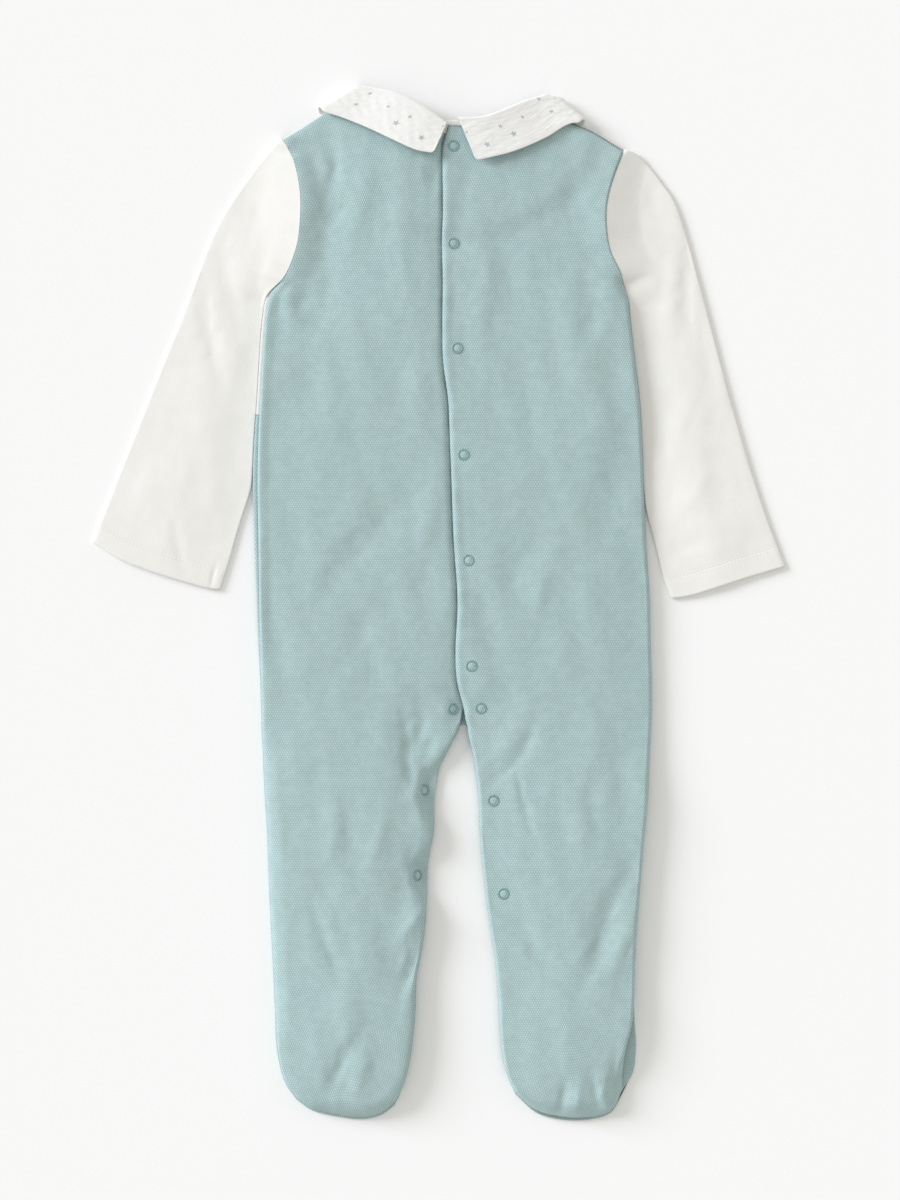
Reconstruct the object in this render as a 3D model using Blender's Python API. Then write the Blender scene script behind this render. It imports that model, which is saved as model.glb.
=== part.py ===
# A footed baby sleepsuit laid out flat, face down, with its snapped back uppermost.
# Sizes are in millimetres. +Y runs to the neck, +Z is up, and -X is the wearer's left.
# Every panel is one layer of cloth with a real wall, and the layers lie on each other.
import math
from collections import namedtuple

import bmesh
import bpy
from mathutils import Vector

MM = 0.001

# Cloth walls
BODY_WALL = 1.3
SLEEVE_WALL = 1.1
COLLAR_WALL = 1.2
BAND_WALL = 1.0

# Room between the pieces
SEAM_GAP = 0.3
COLLAR_GAP = 0.35
SLEEVE_CLEARANCE = 0.7
SNAP_ROOM = 1.6

# How the empty suit puffs up between its edges, and how far in that takes
BODY_PUFF = 2.9
BODY_REACH = 24.0
SLEEVE_PUFF = 2.2
SLEEVE_REACH = 20.0
SHOULDER_FADE = 55.0

# The placket, where the right back laps over the left, and the crotch that ends it
LAP_LIFT = BODY_WALL + SNAP_ROOM
LAP_FADE = 11.0
LAP_END = (-90.0, -68.0)
CROTCH = (17.0, -81.0)
WAIST_SEAM = 119.0
INNER_LEG_SETBACK = 0.8
TOE_PEEK = 1.6

# The neck is a round hole. The collar rolls above its seam and falls outwards from there.
NECK_CENTRE = (10.5, 338.5)
FRONT_NECK_RADIUS = 68.2
NECK_ROLL_RADIUS = 61.0
COLLAR_EDGE_RADIUS = 89.5
COLLAR_STAND = 5.6
FRONT_COLLAR_END = 86.0
FRONT_RAISE = COLLAR_WALL + COLLAR_GAP
FRONT_RAISE_RADII = (97.0, 112.0)
MIDDLE_LEVEL = FRONT_RAISE + BODY_WALL + SEAM_GAP / 2
BAND_ABOVE = 4.2
BAND_BELOW = 4.0

SNAP_RADIUS = 3.8
SNAP_RING_WIDTH = 1.3
SNAP_RING_HEIGHT = 0.9
STUD_RADIUS = 2.7
STUD_HEIGHT = 0.8
SNAP_GAP = 0.4

# The two long edges of each back panel, from the shoulder to the toe. The outer edge is the armhole
# and the side. The inner edge of the left back runs under the placket, and that of the right back is
# the placket's own edge. Below the crotch both are the inner leg. Peek is how far the front panel
# shows outside the back one.
Row = namedtuple("Row", "outer_x outer_y inner_x inner_y peek")
LEFT_ROWS = [
    Row(-99.5, 295.0, 19.5, 303.5, 0.0),
    Row(-92.5, 281.5, 17.5, 288.0, 0.0),
    Row(-88.5, 262.0, 17.0, 266.0, 0.0),
    Row(-88.5, 242.5, 15.5, 246.0, 0.0),
    Row(-91.0, 225.5, 15.0, 227.0, 0.0),
    Row(-98.0, 208.0, 15.5, 209.0, 0.3),
    Row(-108.0, 196.0, 16.0, 195.0, 1.4),
    Row(-111.0, 180.0, 16.5, 180.0, 1.8),
    Row(-113.0, 154.0, 17.0, 154.0, 1.8),
    Row(-114.5, 128.5, 19.0, 128.5, 1.8),
    Row(-115.5, 103.0, 21.0, 103.0, 2.6),
    Row(-116.0, 77.5, 22.5, 77.5, 3.0),
    Row(-115.5, 39.0, 24.0, 39.0, 2.4),
    Row(-115.0, 0.5, 26.0, 0.5, 1.4),
    Row(-114.5, -30.0, 26.0, -30.0, 0.8),
    Row(-114.0, -50.0, 23.5, -50.0, 0.4),
    Row(-113.5, -69.0, 15.8, -69.0, 0.3),
    Row(-113.2, -83.0, 12.5, -83.0, 0.3),
    Row(-112.5, -95.0, 6.5, -95.0, 0.3),
    Row(-112.0, -108.0, 0.5, -108.0, 0.3),
    Row(-111.0, -127.0, -2.5, -127.0, 0.3),
    Row(-109.7, -147.0, -3.0, -147.0, 0.3),
    Row(-109.0, -167.0, -6.5, -167.0, 0.3),
    Row(-108.0, -191.5, -7.5, -191.5, 0.3),
    Row(-106.8, -217.0, -9.5, -217.0, 0.3),
    Row(-105.5, -242.5, -14.0, -242.5, 0.3),
    Row(-104.5, -265.0, -15.0, -265.0, 0.3),
    Row(-103.8, -282.0, -16.5, -281.0, 0.4),
    Row(-101.5, -297.0, -18.5, -295.0, 0.8),
    Row(-97.5, -309.0, -22.0, -309.0, 1.2),
    Row(-90.5, -318.5, -28.5, -322.0, 1.2),
]
RIGHT_ROWS = [
    Row(118.5, 288.0, 6.5, 303.5, 0.0),
    Row(112.5, 272.5, 3.0, 290.0, 0.0),
    Row(108.0, 256.5, 3.0, 269.5, 0.0),
    Row(107.0, 241.5, 3.2, 250.0, 0.0),
    Row(109.5, 224.0, 2.5, 228.5, 0.0),
    Row(116.5, 209.0, 3.0, 209.0, 0.0),
    Row(121.0, 195.0, 3.0, 195.0, 0.0),
    Row(122.5, 180.0, 2.8, 180.0, 0.0),
    Row(125.5, 154.0, 3.2, 154.0, 0.0),
    Row(128.5, 128.5, 6.5, 128.5, 0.0),
    Row(130.0, 103.0, 7.6, 103.0, 0.0),
    Row(131.0, 77.5, 8.6, 77.5, 0.0),
    Row(132.7, 39.0, 10.0, 39.0, 0.0),
    Row(135.0, 0.5, 12.5, 0.5, 0.0),
    Row(135.6, -30.0, 11.2, -30.0, 0.0),
    Row(136.2, -50.0, 12.0, -50.0, 0.0),
    Row(136.3, -69.0, 16.5, -69.0, 0.0),
    Row(135.7, -84.5, 19.0, -84.5, 0.0),
    Row(135.0, -99.5, 22.5, -99.5, 0.0),
    Row(134.5, -114.0, 24.5, -114.0, 0.0),
    Row(133.8, -129.0, 26.0, -129.0, 0.0),
    Row(131.5, -153.0, 27.0, -153.0, 0.0),
    Row(129.3, -178.5, 29.5, -178.5, 0.0),
    Row(127.3, -204.0, 32.5, -204.0, 0.0),
    Row(125.7, -230.0, 36.5, -230.0, 0.0),
    Row(125.0, -255.0, 38.5, -255.0, 0.3),
    Row(123.5, -272.0, 39.3, -273.0, 2.4),
    Row(119.8, -287.0, 40.5, -288.0, 7.4),
    Row(117.8, -301.0, 43.5, -302.0, 9.4),
    Row(117.5, -313.0, 49.5, -315.0, 3.5),
]

# Shoulder seams from armhole to neck, the back's neck edge from there to the placket, and the toes
LEFT_SHOULDER = [(-99.5, 295.0), (-80.5, 307.0), (-54.0, 324.3)]
RIGHT_SHOULDER = [(118.5, 288.0), (99.5, 299.5), (84.0, 306.7), (72.0, 315.8)]
LEFT_NECK = [(-54.0, 324.3), (-33.0, 320.3), (-14.0, 311.0), (-1.0, 301.8), (6.0, 300.8), (19.5, 303.5)]
RIGHT_NECK = [(72.0, 315.8), (54.0, 312.5), (40.0, 306.4), (27.0, 302.4), (14.0, 303.2), (6.5, 303.5)]
FRONT_NECK_CORNERS = [(-57.5, 322.0), (74.7, 313.8)]
LEFT_TOE = [(-90.5, -318.5), (-80.0, -325.5), (-62.0, -329.4), (-49.5, -330.6), (-37.5, -328.3), (-28.5, -322.0)]
RIGHT_TOE = [(117.5, -313.0), (111.0, -326.0), (97.0, -330.8), (80.0, -331.0), (63.0, -326.8), (49.5, -315.0)]
SHOULDER_ROWS = 6
TOE_ROWS = 6

# Sleeves: the outer fold from shoulder to cuff, the free part of the inner fold, and the cuff's edge
LEFT_SLEEVE = {
    "outer": [(-100.5, 296.5), (-120.0, 273.5), (-142.5, 238.5), (-163.0, 186.0), (-195.0, 106.0), (-222.5, 35.0)],
    "inner": [(-120.5, 71.0), (-126.5, 49.0), (-132.0, 26.0), (-138.0, 7.0)],
    "cuff": [(-222.5, 35.0), (-206.5, 26.0), (-188.5, 19.5), (-168.0, 13.5), (-147.0, 8.0), (-138.0, 7.0)],
}
RIGHT_SLEEVE = {
    "outer": [(119.5, 289.5), (129.0, 285.0), (142.5, 269.0), (154.0, 250.0), (168.0, 202.0), (188.5, 125.0),
              (206.5, 65.5), (222.5, 22.0)],
    "inner": [(134.0, 68.0), (137.0, 52.0), (142.0, 24.0), (149.5, 1.5)],
    "cuff": [(222.5, 22.0), (197.5, 14.5), (174.5, 7.0), (161.0, 3.0), (149.5, 1.5)],
}

# Collars on the back: the roll and the free edge, both from the centre back to the shoulder. Lift is
# how far the free edge stands off the panel at the centre back.
LEFT_COLLAR = {
    "roll": [(5.5, 307.0), (-10.5, 318.0), (-30.0, 326.6), (-49.0, 330.2)],
    "edge": [(-5.0, 288.5), (-15.0, 291.0), (-27.0, 295.5), (-52.0, 306.3), (-64.5, 311.3), (-75.3, 313.6)],
    "lift": 0.4,
}
RIGHT_COLLAR = {
    "roll": [(14.0, 309.5), (26.5, 310.5), (40.0, 315.5), (60.0, 322.7), (71.2, 324.8)],
    "edge": [(24.5, 283.5), (33.5, 285.0), (46.0, 289.5), (70.5, 300.0), (92.6, 307.8)],
    "lift": 2.2,
}
NECK_BAND = [(-42.0, 322.5), (-33.0, 320.0), (-14.0, 311.5), (0.0, 303.5), (14.0, 303.3), (26.0, 303.8), (40.0, 308.0),
             (56.0, 313.0)]

# Snap places: the placket from the neck down, then the inner legs from the crotch down
PLACKET_SNAPS = [(9.5, 290.5), (9.5, 228.5), (12.0, 161.5), (16.0, 93.5), (19.0, 26.0), (21.0, -41.5)]
LEG_SNAPS = [(9.0, -69.0), (-9.0, -121.0), (-13.5, -175.5), (27.0, -68.5), (35.0, -127.5), (41.5, -187.0)]

# Colours are linear. Columns: colour, roughness, metallic.
FINISHES = {
    "body_pique": ((0.405, 0.540, 0.532), 0.85, 0.0),
    "white_jersey": ((0.850, 0.855, 0.810), 0.88, 0.0),
    "star_muslin": ((0.830, 0.830, 0.812), 0.86, 0.0),
    "snap_enamel": ((0.170, 0.320, 0.335), 0.42, 0.0),
    "snap_metal": ((0.560, 0.560, 0.545), 0.35, 1.0),
}

SHOULDER_COLUMNS = 4
BODY_COLUMNS = 11
SLEEVE_COLUMNS = 8
ARMHOLE_SECTIONS = 11
COLLAR_STEPS = 9
FOLD_STEPS = 5
FRONT_NECK_COLUMNS = 12
SNAP_SEGMENTS = 20


def ease(low, high, value):
    # A soft step from 0 at low to 1 at high
    u = min(max((value - low) / (high - low), 0.0), 1.0)
    return u * u * (3.0 - 2.0 * u)


def on_curve(points, u):
    # A point on the smooth curve through the points, with u from 0 at the first to 1 at the last
    place = min(max(u, 0.0), 1.0) * (len(points) - 1)
    k = min(int(place), len(points) - 2)
    f = place - k
    b = Vector(points[k])
    c = Vector(points[k + 1])
    a = Vector(points[k - 1]) if k > 0 else 2 * b - c
    d = Vector(points[k + 2]) if k + 2 < len(points) else 2 * c - b
    return 0.5 * (2 * b + (c - a) * f + (2 * a - 5 * b + 4 * c - d) * f**2 + (3 * b - a - 3 * c + d) * f**3)


def even_curve(points, count):
    # The same curve at count + 1 points that lie at equal distances along it
    fine = [on_curve(points, k / 200) for k in range(201)]
    run = [0.0]
    for p, q in zip(fine, fine[1:]):
        run.append(run[-1] + (q - p).length)
    spaced = []
    k = 0
    for step in range(count + 1):
        goal = run[-1] * step / count
        while k < len(fine) - 2 and run[k + 1] < goal:
            k += 1
        spaced.append(fine[k].lerp(fine[k + 1], (goal - run[k]) / max(run[k + 1] - run[k], 1e-9)))
    return spaced


def spread(columns):
    # Column places from 0 to 1 that crowd towards both edges, where the cloth bends most
    for c in range(columns + 1):
        even = c / columns
        yield 0.35 * even + 0.65 * (0.5 - 0.5 * math.cos(math.pi * even))


def patch(outer, inner, columns, head=None, head_rows=0, foot=None, foot_rows=0):
    # Plan points between two long edges. A short edge is given column by column, and what it leaves
    # the straight line between its ends by fades out along the panel.
    last = len(outer) - 1
    rows = []
    for r in range(last + 1):
        row = []
        for c, u in enumerate(spread(columns)):
            p = outer[r].lerp(inner[r], u)
            if head:
                p += (head[c] - head[0].lerp(head[-1], u)) * (1.0 - ease(0, head_rows, r))
            if foot:
                p += (foot[c] - foot[0].lerp(foot[-1], u)) * (1.0 - ease(0, foot_rows, last - r))
            row.append(p)
        rows.append(row)
    return rows


def halved(line):
    # The same line with a point added in the middle of each stretch
    finer = []
    for a, b in zip(line, line[1:]):
        finer += [a, a.lerp(b, 0.5)]
    return finer + line[-1:]


def segment_distance(p, a, b):
    along = b - a
    u = min(max((p - a).dot(along) / max(along.length_squared, 1e-9), 0.0), 1.0)
    return (p - a - along * u).length


def nearest(p, line):
    return min(segment_distance(p, a, b) for a, b in zip(line, line[1:]))


def edge_at(rows, level, side):
    # The x of the rows' outer or inner edge at a level below the armhole
    pairs = [(getattr(r, side + "_y"), getattr(r, side + "_x")) for r in rows]
    for (y1, x1), (y2, x2) in zip(pairs, pairs[1:]):
        if y2 <= level <= y1:
            return x1 + (x2 - x1) * (y1 - level) / (y1 - y2)
    return pairs[0][1] if level > pairs[0][0] else pairs[-1][1]


def body_outline():
    # The sewn edges of front and back: shoulder, armhole, side, toe and inner leg, left then right
    crotch_left = [r for r in LEFT_ROWS if r.inner_y < CROTCH[1]]
    crotch_right = [r for r in RIGHT_ROWS if r.inner_y < CROTCH[1]]
    line = LEFT_SHOULDER[:0:-1]
    line += [(r.outer_x, r.outer_y) for r in LEFT_ROWS]
    line += LEFT_TOE[1:]
    line += [(r.inner_x, r.inner_y) for r in reversed(crotch_left)]
    line.append(CROTCH)
    line += [(r.inner_x, r.inner_y) for r in crotch_right]
    line += RIGHT_TOE[-2::-1]
    line += [(r.outer_x, r.outer_y) for r in reversed(RIGHT_ROWS)]
    line += RIGHT_SHOULDER[1:]
    return [Vector(p) for p in line]


OUTLINE = body_outline()
SHOULDERS = [[Vector(p) for p in line] for line in (LEFT_SHOULDER, RIGHT_SHOULDER)]


def front_level(p):
    # The front lies on the surface, and over the collar's front half near the neck
    far = (Vector(p) - Vector(NECK_CENTRE)).length
    return FRONT_RAISE * (1.0 - ease(*FRONT_RAISE_RADII, far))


def puff(p):
    # The room between front and back, nothing at the sewn edges and least at the shoulders
    p = Vector(p)
    inward = min(nearest(p, OUTLINE) / BODY_REACH, 1.0)
    shoulder = min(nearest(p, line) for line in SHOULDERS)
    return BODY_PUFF * math.sqrt(1.0 - (1.0 - inward) ** 2) * ease(0.0, SHOULDER_FADE, shoulder)


def back_level(p):
    return front_level(p) + BODY_WALL + SEAM_GAP + puff(p)


def lap_lift(p):
    # The right back lies over the left one along the placket
    x, y = p[0], p[1]
    edge = edge_at(RIGHT_ROWS, y, "inner")
    under = max(edge_at(LEFT_ROWS, y, "inner") - edge, 0.0)
    return LAP_LIFT * (1.0 - ease(under + 1.0, under + 1.0 + LAP_FADE, x - edge)) * ease(*LAP_END, y)


def right_back_level(p):
    return back_level(p) + lap_lift(p)


def clear_scene():
    for item in list(bpy.data.objects):
        bpy.data.objects.remove(item, do_unlink=True)


def finish_material(name):
    material = bpy.data.materials.get(name)
    if material is None:
        colour, roughness, metallic = FINISHES[name]
        material = bpy.data.materials.new(name)
        material.use_nodes = True
        shader = material.node_tree.nodes["Principled BSDF"]
        shader.inputs["Base Color"].default_value = (*colour, 1.0)
        shader.inputs["Roughness"].default_value = roughness
        shader.inputs["Metallic"].default_value = metallic
        material.diffuse_color = (*colour, 1.0)
    return material


def add_object(name, work, material):
    bmesh.ops.recalc_face_normals(work, faces=work.faces)
    bmesh.ops.scale(work, vec=(MM, MM, MM), verts=work.verts)
    mesh = bpy.data.meshes.new(name)
    work.to_mesh(mesh)
    work.free()
    mesh.materials.append(finish_material(material))
    item = bpy.data.objects.new(name, mesh)
    bpy.context.scene.collection.objects.link(item)
    return item


def add_sheet(work, rows, level):
    # One sheet of faces over the plan points, at the level that the function gives
    grid = [[work.verts.new((p.x, p.y, level(p))) for p in row] for row in rows]
    for upper, lower in zip(grid, grid[1:]):
        for a, b, c, d in zip(upper, upper[1:], lower[1:], lower):
            work.faces.new((a, b, c, d))


def add_cloth(name, sheets, level, wall, material):
    # A layer of cloth: its underside first, then the same faces moved up by the wall
    work = bmesh.new()
    for rows in sheets:
        add_sheet(work, rows, level)
    bmesh.ops.remove_doubles(work, verts=work.verts, dist=0.02)
    raised = bmesh.ops.extrude_face_region(work, geom=list(work.faces))["geom"]
    moved = [v for v in raised if isinstance(v, bmesh.types.BMVert)]
    bmesh.ops.translate(work, vec=(0.0, 0.0, wall), verts=moved)
    return add_object(name, work, material)


def rail(rows, side):
    return [Vector((getattr(r, side + "_x"), getattr(r, side + "_y"))) for r in rows]


def add_backs():
    backs = (
        ("back_left", LEFT_ROWS, LEFT_SHOULDER, LEFT_NECK, LEFT_TOE, back_level),
        ("back_right", RIGHT_ROWS, RIGHT_SHOULDER, RIGHT_NECK, RIGHT_TOE, right_back_level),
    )
    for name, rows, shoulder, neck, toe, level in backs:
        head = even_curve(shoulder, SHOULDER_COLUMNS)[:-1]
        head += even_curve(neck, BODY_COLUMNS - SHOULDER_COLUMNS)
        foot = even_curve(toe, BODY_COLUMNS)
        plan = patch(rail(rows, "outer"), rail(rows, "inner"), BODY_COLUMNS, head, SHOULDER_ROWS, foot, TOE_ROWS)
        add_cloth(name, [plan], level, BODY_WALL, "body_pique")


def front_half(rows, toe, side, levels):
    # One half of the lower front: the trunk's share down to the crotch, then the leg and foot
    outer = []
    inner = []
    for level in levels:
        setback = side * INNER_LEG_SETBACK
        peek = side * edge_peek(rows, level)
        leg = edge_at(rows, level, "inner") + setback
        outer.append(Vector((edge_at(rows, level, "outer") + peek, level)))
        inner.append(Vector((leg if level < CROTCH[1] else CROTCH[0], level)))
    foot = even_curve([(x, y - TOE_PEEK) for x, y in toe], BODY_COLUMNS)
    return patch(outer, inner, BODY_COLUMNS, foot=foot, foot_rows=TOE_ROWS)


def edge_peek(rows, level):
    for a, b in zip(rows, rows[1:]):
        if b.outer_y <= level <= a.outer_y:
            return a.peek + (b.peek - a.peek) * (a.outer_y - level) / (a.outer_y - b.outer_y)
    return rows[-1].peek


def add_fronts():
    shared = [WAIST_SEAM, 90.0, 60.0, 30.0, 0.0, -30.0, -50.0, -69.0, CROTCH[1]]
    left_levels = shared + [r.outer_y for r in LEFT_ROWS if r.outer_y < CROTCH[1] - 5.0]
    right_levels = shared + [r.outer_y for r in RIGHT_ROWS if r.outer_y < CROTCH[1] - 5.0]
    halves = [
        front_half(LEFT_ROWS, LEFT_TOE, -1, left_levels),
        front_half(RIGHT_ROWS, RIGHT_TOE, 1, right_levels),
    ]
    add_cloth("front_lower", halves, front_level, BODY_WALL, "body_pique")

    # The bodice runs from shoulder to shoulder, with the neck cut out of its upper edge
    hem = WAIST_SEAM + SEAM_GAP
    upper_left = [r for r in LEFT_ROWS if r.outer_y > hem]
    upper_right = [r for r in RIGHT_ROWS if r.outer_y > hem]
    left = [Vector((r.outer_x - r.peek, r.outer_y)) for r in upper_left]
    right = [Vector((r.outer_x + r.peek, r.outer_y)) for r in upper_right]
    left.append(Vector((edge_at(LEFT_ROWS, hem, "outer") - edge_peek(LEFT_ROWS, hem), hem)))
    right.append(Vector((edge_at(RIGHT_ROWS, hem, "outer"), hem)))
    left_corner, right_corner = [Vector(p) for p in FRONT_NECK_CORNERS]
    begin, end = [math.atan2(p.y - NECK_CENTRE[1], p.x - NECK_CENTRE[0]) for p in (left_corner, right_corner)]
    neck = []
    for k in range(FRONT_NECK_COLUMNS + 1):
        turn = begin + (end - begin) * k / FRONT_NECK_COLUMNS
        neck.append(Vector(NECK_CENTRE) + Vector((math.cos(turn), math.sin(turn))) * FRONT_NECK_RADIUS)
    head = even_curve(LEFT_SHOULDER[:-1] + [FRONT_NECK_CORNERS[0]], SHOULDER_COLUMNS)[:-1] + neck
    head += even_curve(RIGHT_SHOULDER[:-1] + [FRONT_NECK_CORNERS[1]], SHOULDER_COLUMNS)[-2::-1]
    plan = patch(left, right, len(head) - 1, head, SHOULDER_ROWS + 2)
    add_cloth("front_bodice", [plan], front_level, BODY_WALL, "white_jersey")


def sleeve_rails(sleeve, rows, side):
    # The inner edge follows the armhole, then lies along the body's side before it stands free
    body = [Vector((r.outer_x + side * (r.peek + SLEEVE_CLEARANCE), r.outer_y)) for r in rows]
    free = [Vector(p) for p in sleeve["inner"]]
    inner = halved([p for p in body if p.y > free[0].y + 15.0] + free)[1:]
    return even_curve(sleeve["outer"], len(inner) - 1), inner


def sleeve_ring(row, inset, puffed):
    # One section of the flattened tube, along its underside and back over the top
    across = (row[-1] - row[0]).normalized()
    width = (row[-1] - row[0]).length
    under = []
    over = []
    for p, u in zip(row, spread(SLEEVE_COLUMNS)):
        inward = min(min(u, 1.0 - u) * width / SLEEVE_REACH, 1.0)
        room = SEAM_GAP + puffed * math.sqrt(1.0 - (1.0 - inward) ** 2)
        if u in (0.0, 1.0):
            p = p + across * inset * (1.0 - 2.0 * u)
        under.append((p.x, p.y, inset))
        over.append((p.x, p.y, 2 * SLEEVE_WALL + room - inset))
    return under + over[::-1]


def add_sleeve(name, sleeve, rows, side):
    # A flattened tube of cloth, open at the cuff and along the armhole
    outer, inner = sleeve_rails(sleeve, rows, side)
    cuff = even_curve(sleeve["cuff"], SLEEVE_COLUMNS)
    plan = patch(outer, inner, SLEEVE_COLUMNS, foot=cuff, foot_rows=6)
    work = bmesh.new()
    skins = []
    for inset in (0.0, SLEEVE_WALL):
        skin = []
        for number, row in enumerate(plan):
            puffed = SLEEVE_PUFF * (0.35 + 0.65 * ease(2, 16, number))
            skin.append([work.verts.new(p) for p in sleeve_ring(row, inset, puffed)])
        skins.append(skin)
    count = 2 * SLEEVE_COLUMNS + 2
    faces = []
    for r in range(len(plan) - 1):
        for k in range(count):
            if k == SLEEVE_COLUMNS and r < ARMHOLE_SECTIONS:
                continue
            j = (k + 1) % count
            faces.append(((r, k), (r, j), (r + 1, j), (r + 1, k)))
    for skin in skins:
        for corners in faces:
            work.faces.new([skin[r][k] for r, k in corners])
    # The two skins meet at every open edge
    sides = {}
    for corners in faces:
        for pair in zip(corners, corners[1:] + corners[:1]):
            sides[frozenset(pair)] = sides.get(frozenset(pair), 0) + 1
    for pair, uses in sides.items():
        if uses == 1:
            (r, k), (q, j) = pair
            work.faces.new((skins[0][r][k], skins[0][q][j], skins[1][q][j], skins[1][r][k]))
    return add_object(name, work, "white_jersey")


def collar_section(fall, lift):
    # The folded cloth seen from its end: distance from the roll, and height off the middle level.
    # It runs from the free edge over the roll to the seam edge of the stand, and back inside.
    low = 0.2
    stand_top = low + COLLAR_WALL - 0.05
    under_fall = SEAM_GAP / 2 + BODY_WALL + COLLAR_GAP
    top = under_fall + COLLAR_WALL
    outside = [(fall * k / 4, top + lift * (k / 4) ** 2) for k in (4, 3, 2, 1)]
    roll = [(1.2, top), (0.3, top - 0.6), (0.0, top / 2), (0.3, low + 0.5), (1.2, low)]
    stand = [(COLLAR_STAND / 2, low), (COLLAR_STAND, low), (COLLAR_STAND, stand_top), (COLLAR_STAND / 2, stand_top)]
    inside = [(1.3, stand_top), (1.3, under_fall)]
    inside += [(fall * k / 4, under_fall + lift * (k / 4) ** 2) for k in (1, 2, 3, 4)]
    return outside + roll + stand + inside


def add_collar(name, collar, side, floor_lift):
    # Each half of the collar starts at the centre back, turns under at the shoulder and ends at the
    # centre front, below the bodice
    centre = Vector(NECK_CENTRE)
    rolls = even_curve(collar["roll"], COLLAR_STEPS)
    edges = even_curve(collar["edge"], COLLAR_STEPS)
    stations = []
    for k in range(COLLAR_STEPS + 1):
        lift = collar["lift"] * (1.0 - ease(0, COLLAR_STEPS, k))
        stations.append((rolls[k], edges[k], 0.0, lift))
    for k in range(1, FOLD_STEPS + 1):
        stations.append((rolls[-1], edges[-1], math.pi * k / FOLD_STEPS, 0.0))
    for k in range(1, COLLAR_STEPS + 1):
        u = k / COLLAR_STEPS
        pair = []
        for start, radius in ((rolls[-1], NECK_ROLL_RADIUS), (edges[-1], COLLAR_EDGE_RADIUS)):
            arm = start - centre
            begin = math.atan2(arm.x, -arm.y)
            turn = begin + (side * math.radians(90.0 - FRONT_COLLAR_END) - begin) * u
            length = arm.length + (radius - arm.length) * ease(0.0, 0.4, u)
            pair.append(centre + Vector((math.sin(turn), -math.cos(turn))) * length)
        stations.append((pair[0], pair[1], math.pi, 0.0))

    fold = (edges[-1] - rolls[-1]).normalized()
    outward = Vector((fold.y, -fold.x))
    if outward.x * side < 0:
        outward = -outward
    work = bmesh.new()
    rings = []
    for roll, edge, turn, lift in stations:
        down = (edge - roll).normalized()
        ring = []
        for along, off in collar_section((edge - roll).length, lift):
            p = roll + down * along
            share = (1.0 + math.cos(turn)) / 2
            z = MIDDLE_LEVEL + off * math.cos(turn) + (puff(p) + floor_lift(p)) * share
            p = p + outward * off * math.sin(turn)
            ring.append(work.verts.new((p.x, p.y, z)))
        rings.append(ring)
    count = len(rings[0])
    for above, below in zip(rings, rings[1:]):
        for k in range(count):
            j = (k + 1) % count
            work.faces.new((above[k], above[j], below[j], below[k]))
    work.faces.new(rings[0])
    work.faces.new(rings[-1])
    return add_object(name, work, "star_muslin")


def add_neck_band():
    # The binding inside the neck seam, seen between the two collar ends
    line = even_curve(NECK_BAND, 16)
    upper = [p + Vector((0.0, BAND_ABOVE)) for p in line]
    middle = [p + Vector((0.0, (BAND_ABOVE - BAND_BELOW) / 2)) for p in line]
    lower = [p - Vector((0.0, BAND_BELOW)) for p in line]

    def below_back(p):
        return back_level(p) - SEAM_GAP - BAND_WALL

    return add_cloth("neck_band", [[upper, middle, lower]], below_back, BAND_WALL, "white_jersey")


def add_turned(name, profile, place, z, material):
    # A round piece from a closed profile of radius and height
    work = bmesh.new()
    corners = [work.verts.new((place[0] + r, place[1], z + h)) for r, h in profile]
    edges = [work.edges.new(pair) for pair in zip(corners, corners[1:] + corners[:1])]
    bmesh.ops.spin(work, geom=corners + edges, cent=(place[0], place[1], 0.0), axis=(0.0, 0.0, 1.0),
                   angle=2 * math.pi, steps=SNAP_SEGMENTS, use_merge=True)
    return add_object(name, work, material)


def around(place, radius):
    for k in range(8):
        turn = math.pi * k / 4
        yield (place[0] + radius * math.cos(turn), place[1] + radius * math.sin(turn))


def add_snaps():
    # A ring cap on each back panel. Its stud lies below that panel, on the left back or on the front.
    bevel = SNAP_RING_HEIGHT / 3
    inner = SNAP_RADIUS - SNAP_RING_WIDTH
    ring = [(inner, 0.0), (SNAP_RADIUS, 0.0), (SNAP_RADIUS, SNAP_RING_HEIGHT - bevel),
            (SNAP_RADIUS - bevel, SNAP_RING_HEIGHT), (inner + bevel, SNAP_RING_HEIGHT),
            (inner, SNAP_RING_HEIGHT - bevel)]
    stud = [(0.8, 0.0), (STUD_RADIUS, 0.0), (STUD_RADIUS, STUD_HEIGHT), (0.8, STUD_HEIGHT)]
    for number, place in enumerate(PLACKET_SNAPS + LEG_SNAPS, start=1):
        on_right = place[0] > CROTCH[0] or number <= len(PLACKET_SNAPS)
        level = right_back_level if on_right else back_level
        top = max(level(q) for q in around(place, SNAP_RADIUS)) + BODY_WALL + SNAP_GAP
        if number <= len(PLACKET_SNAPS):
            seat = max(back_level(q) for q in around(place, STUD_RADIUS)) + BODY_WALL + SNAP_GAP
        else:
            seat = BODY_WALL + SEAM_GAP
        add_turned(f"snap_ring_{number:02d}", ring, place, top, "snap_enamel")
        add_turned(f"snap_stud_{number:02d}", stud, place, seat, "snap_metal")


def centre_on_origin():
    # The origin lies on the surface, below the middle of the whole outline
    parts = [item for item in bpy.data.objects if item.type == "MESH"]
    corners = [v.co for item in parts for v in item.data.vertices]
    middle_x = (min(c.x for c in corners) + max(c.x for c in corners)) / 2
    middle_y = (min(c.y for c in corners) + max(c.y for c in corners)) / 2
    for item in parts:
        for v in item.data.vertices:
            v.co.x -= middle_x
            v.co.y -= middle_y
    print(f"outline centred by {middle_x / MM:.2f}, {middle_y / MM:.2f} mm")


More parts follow.
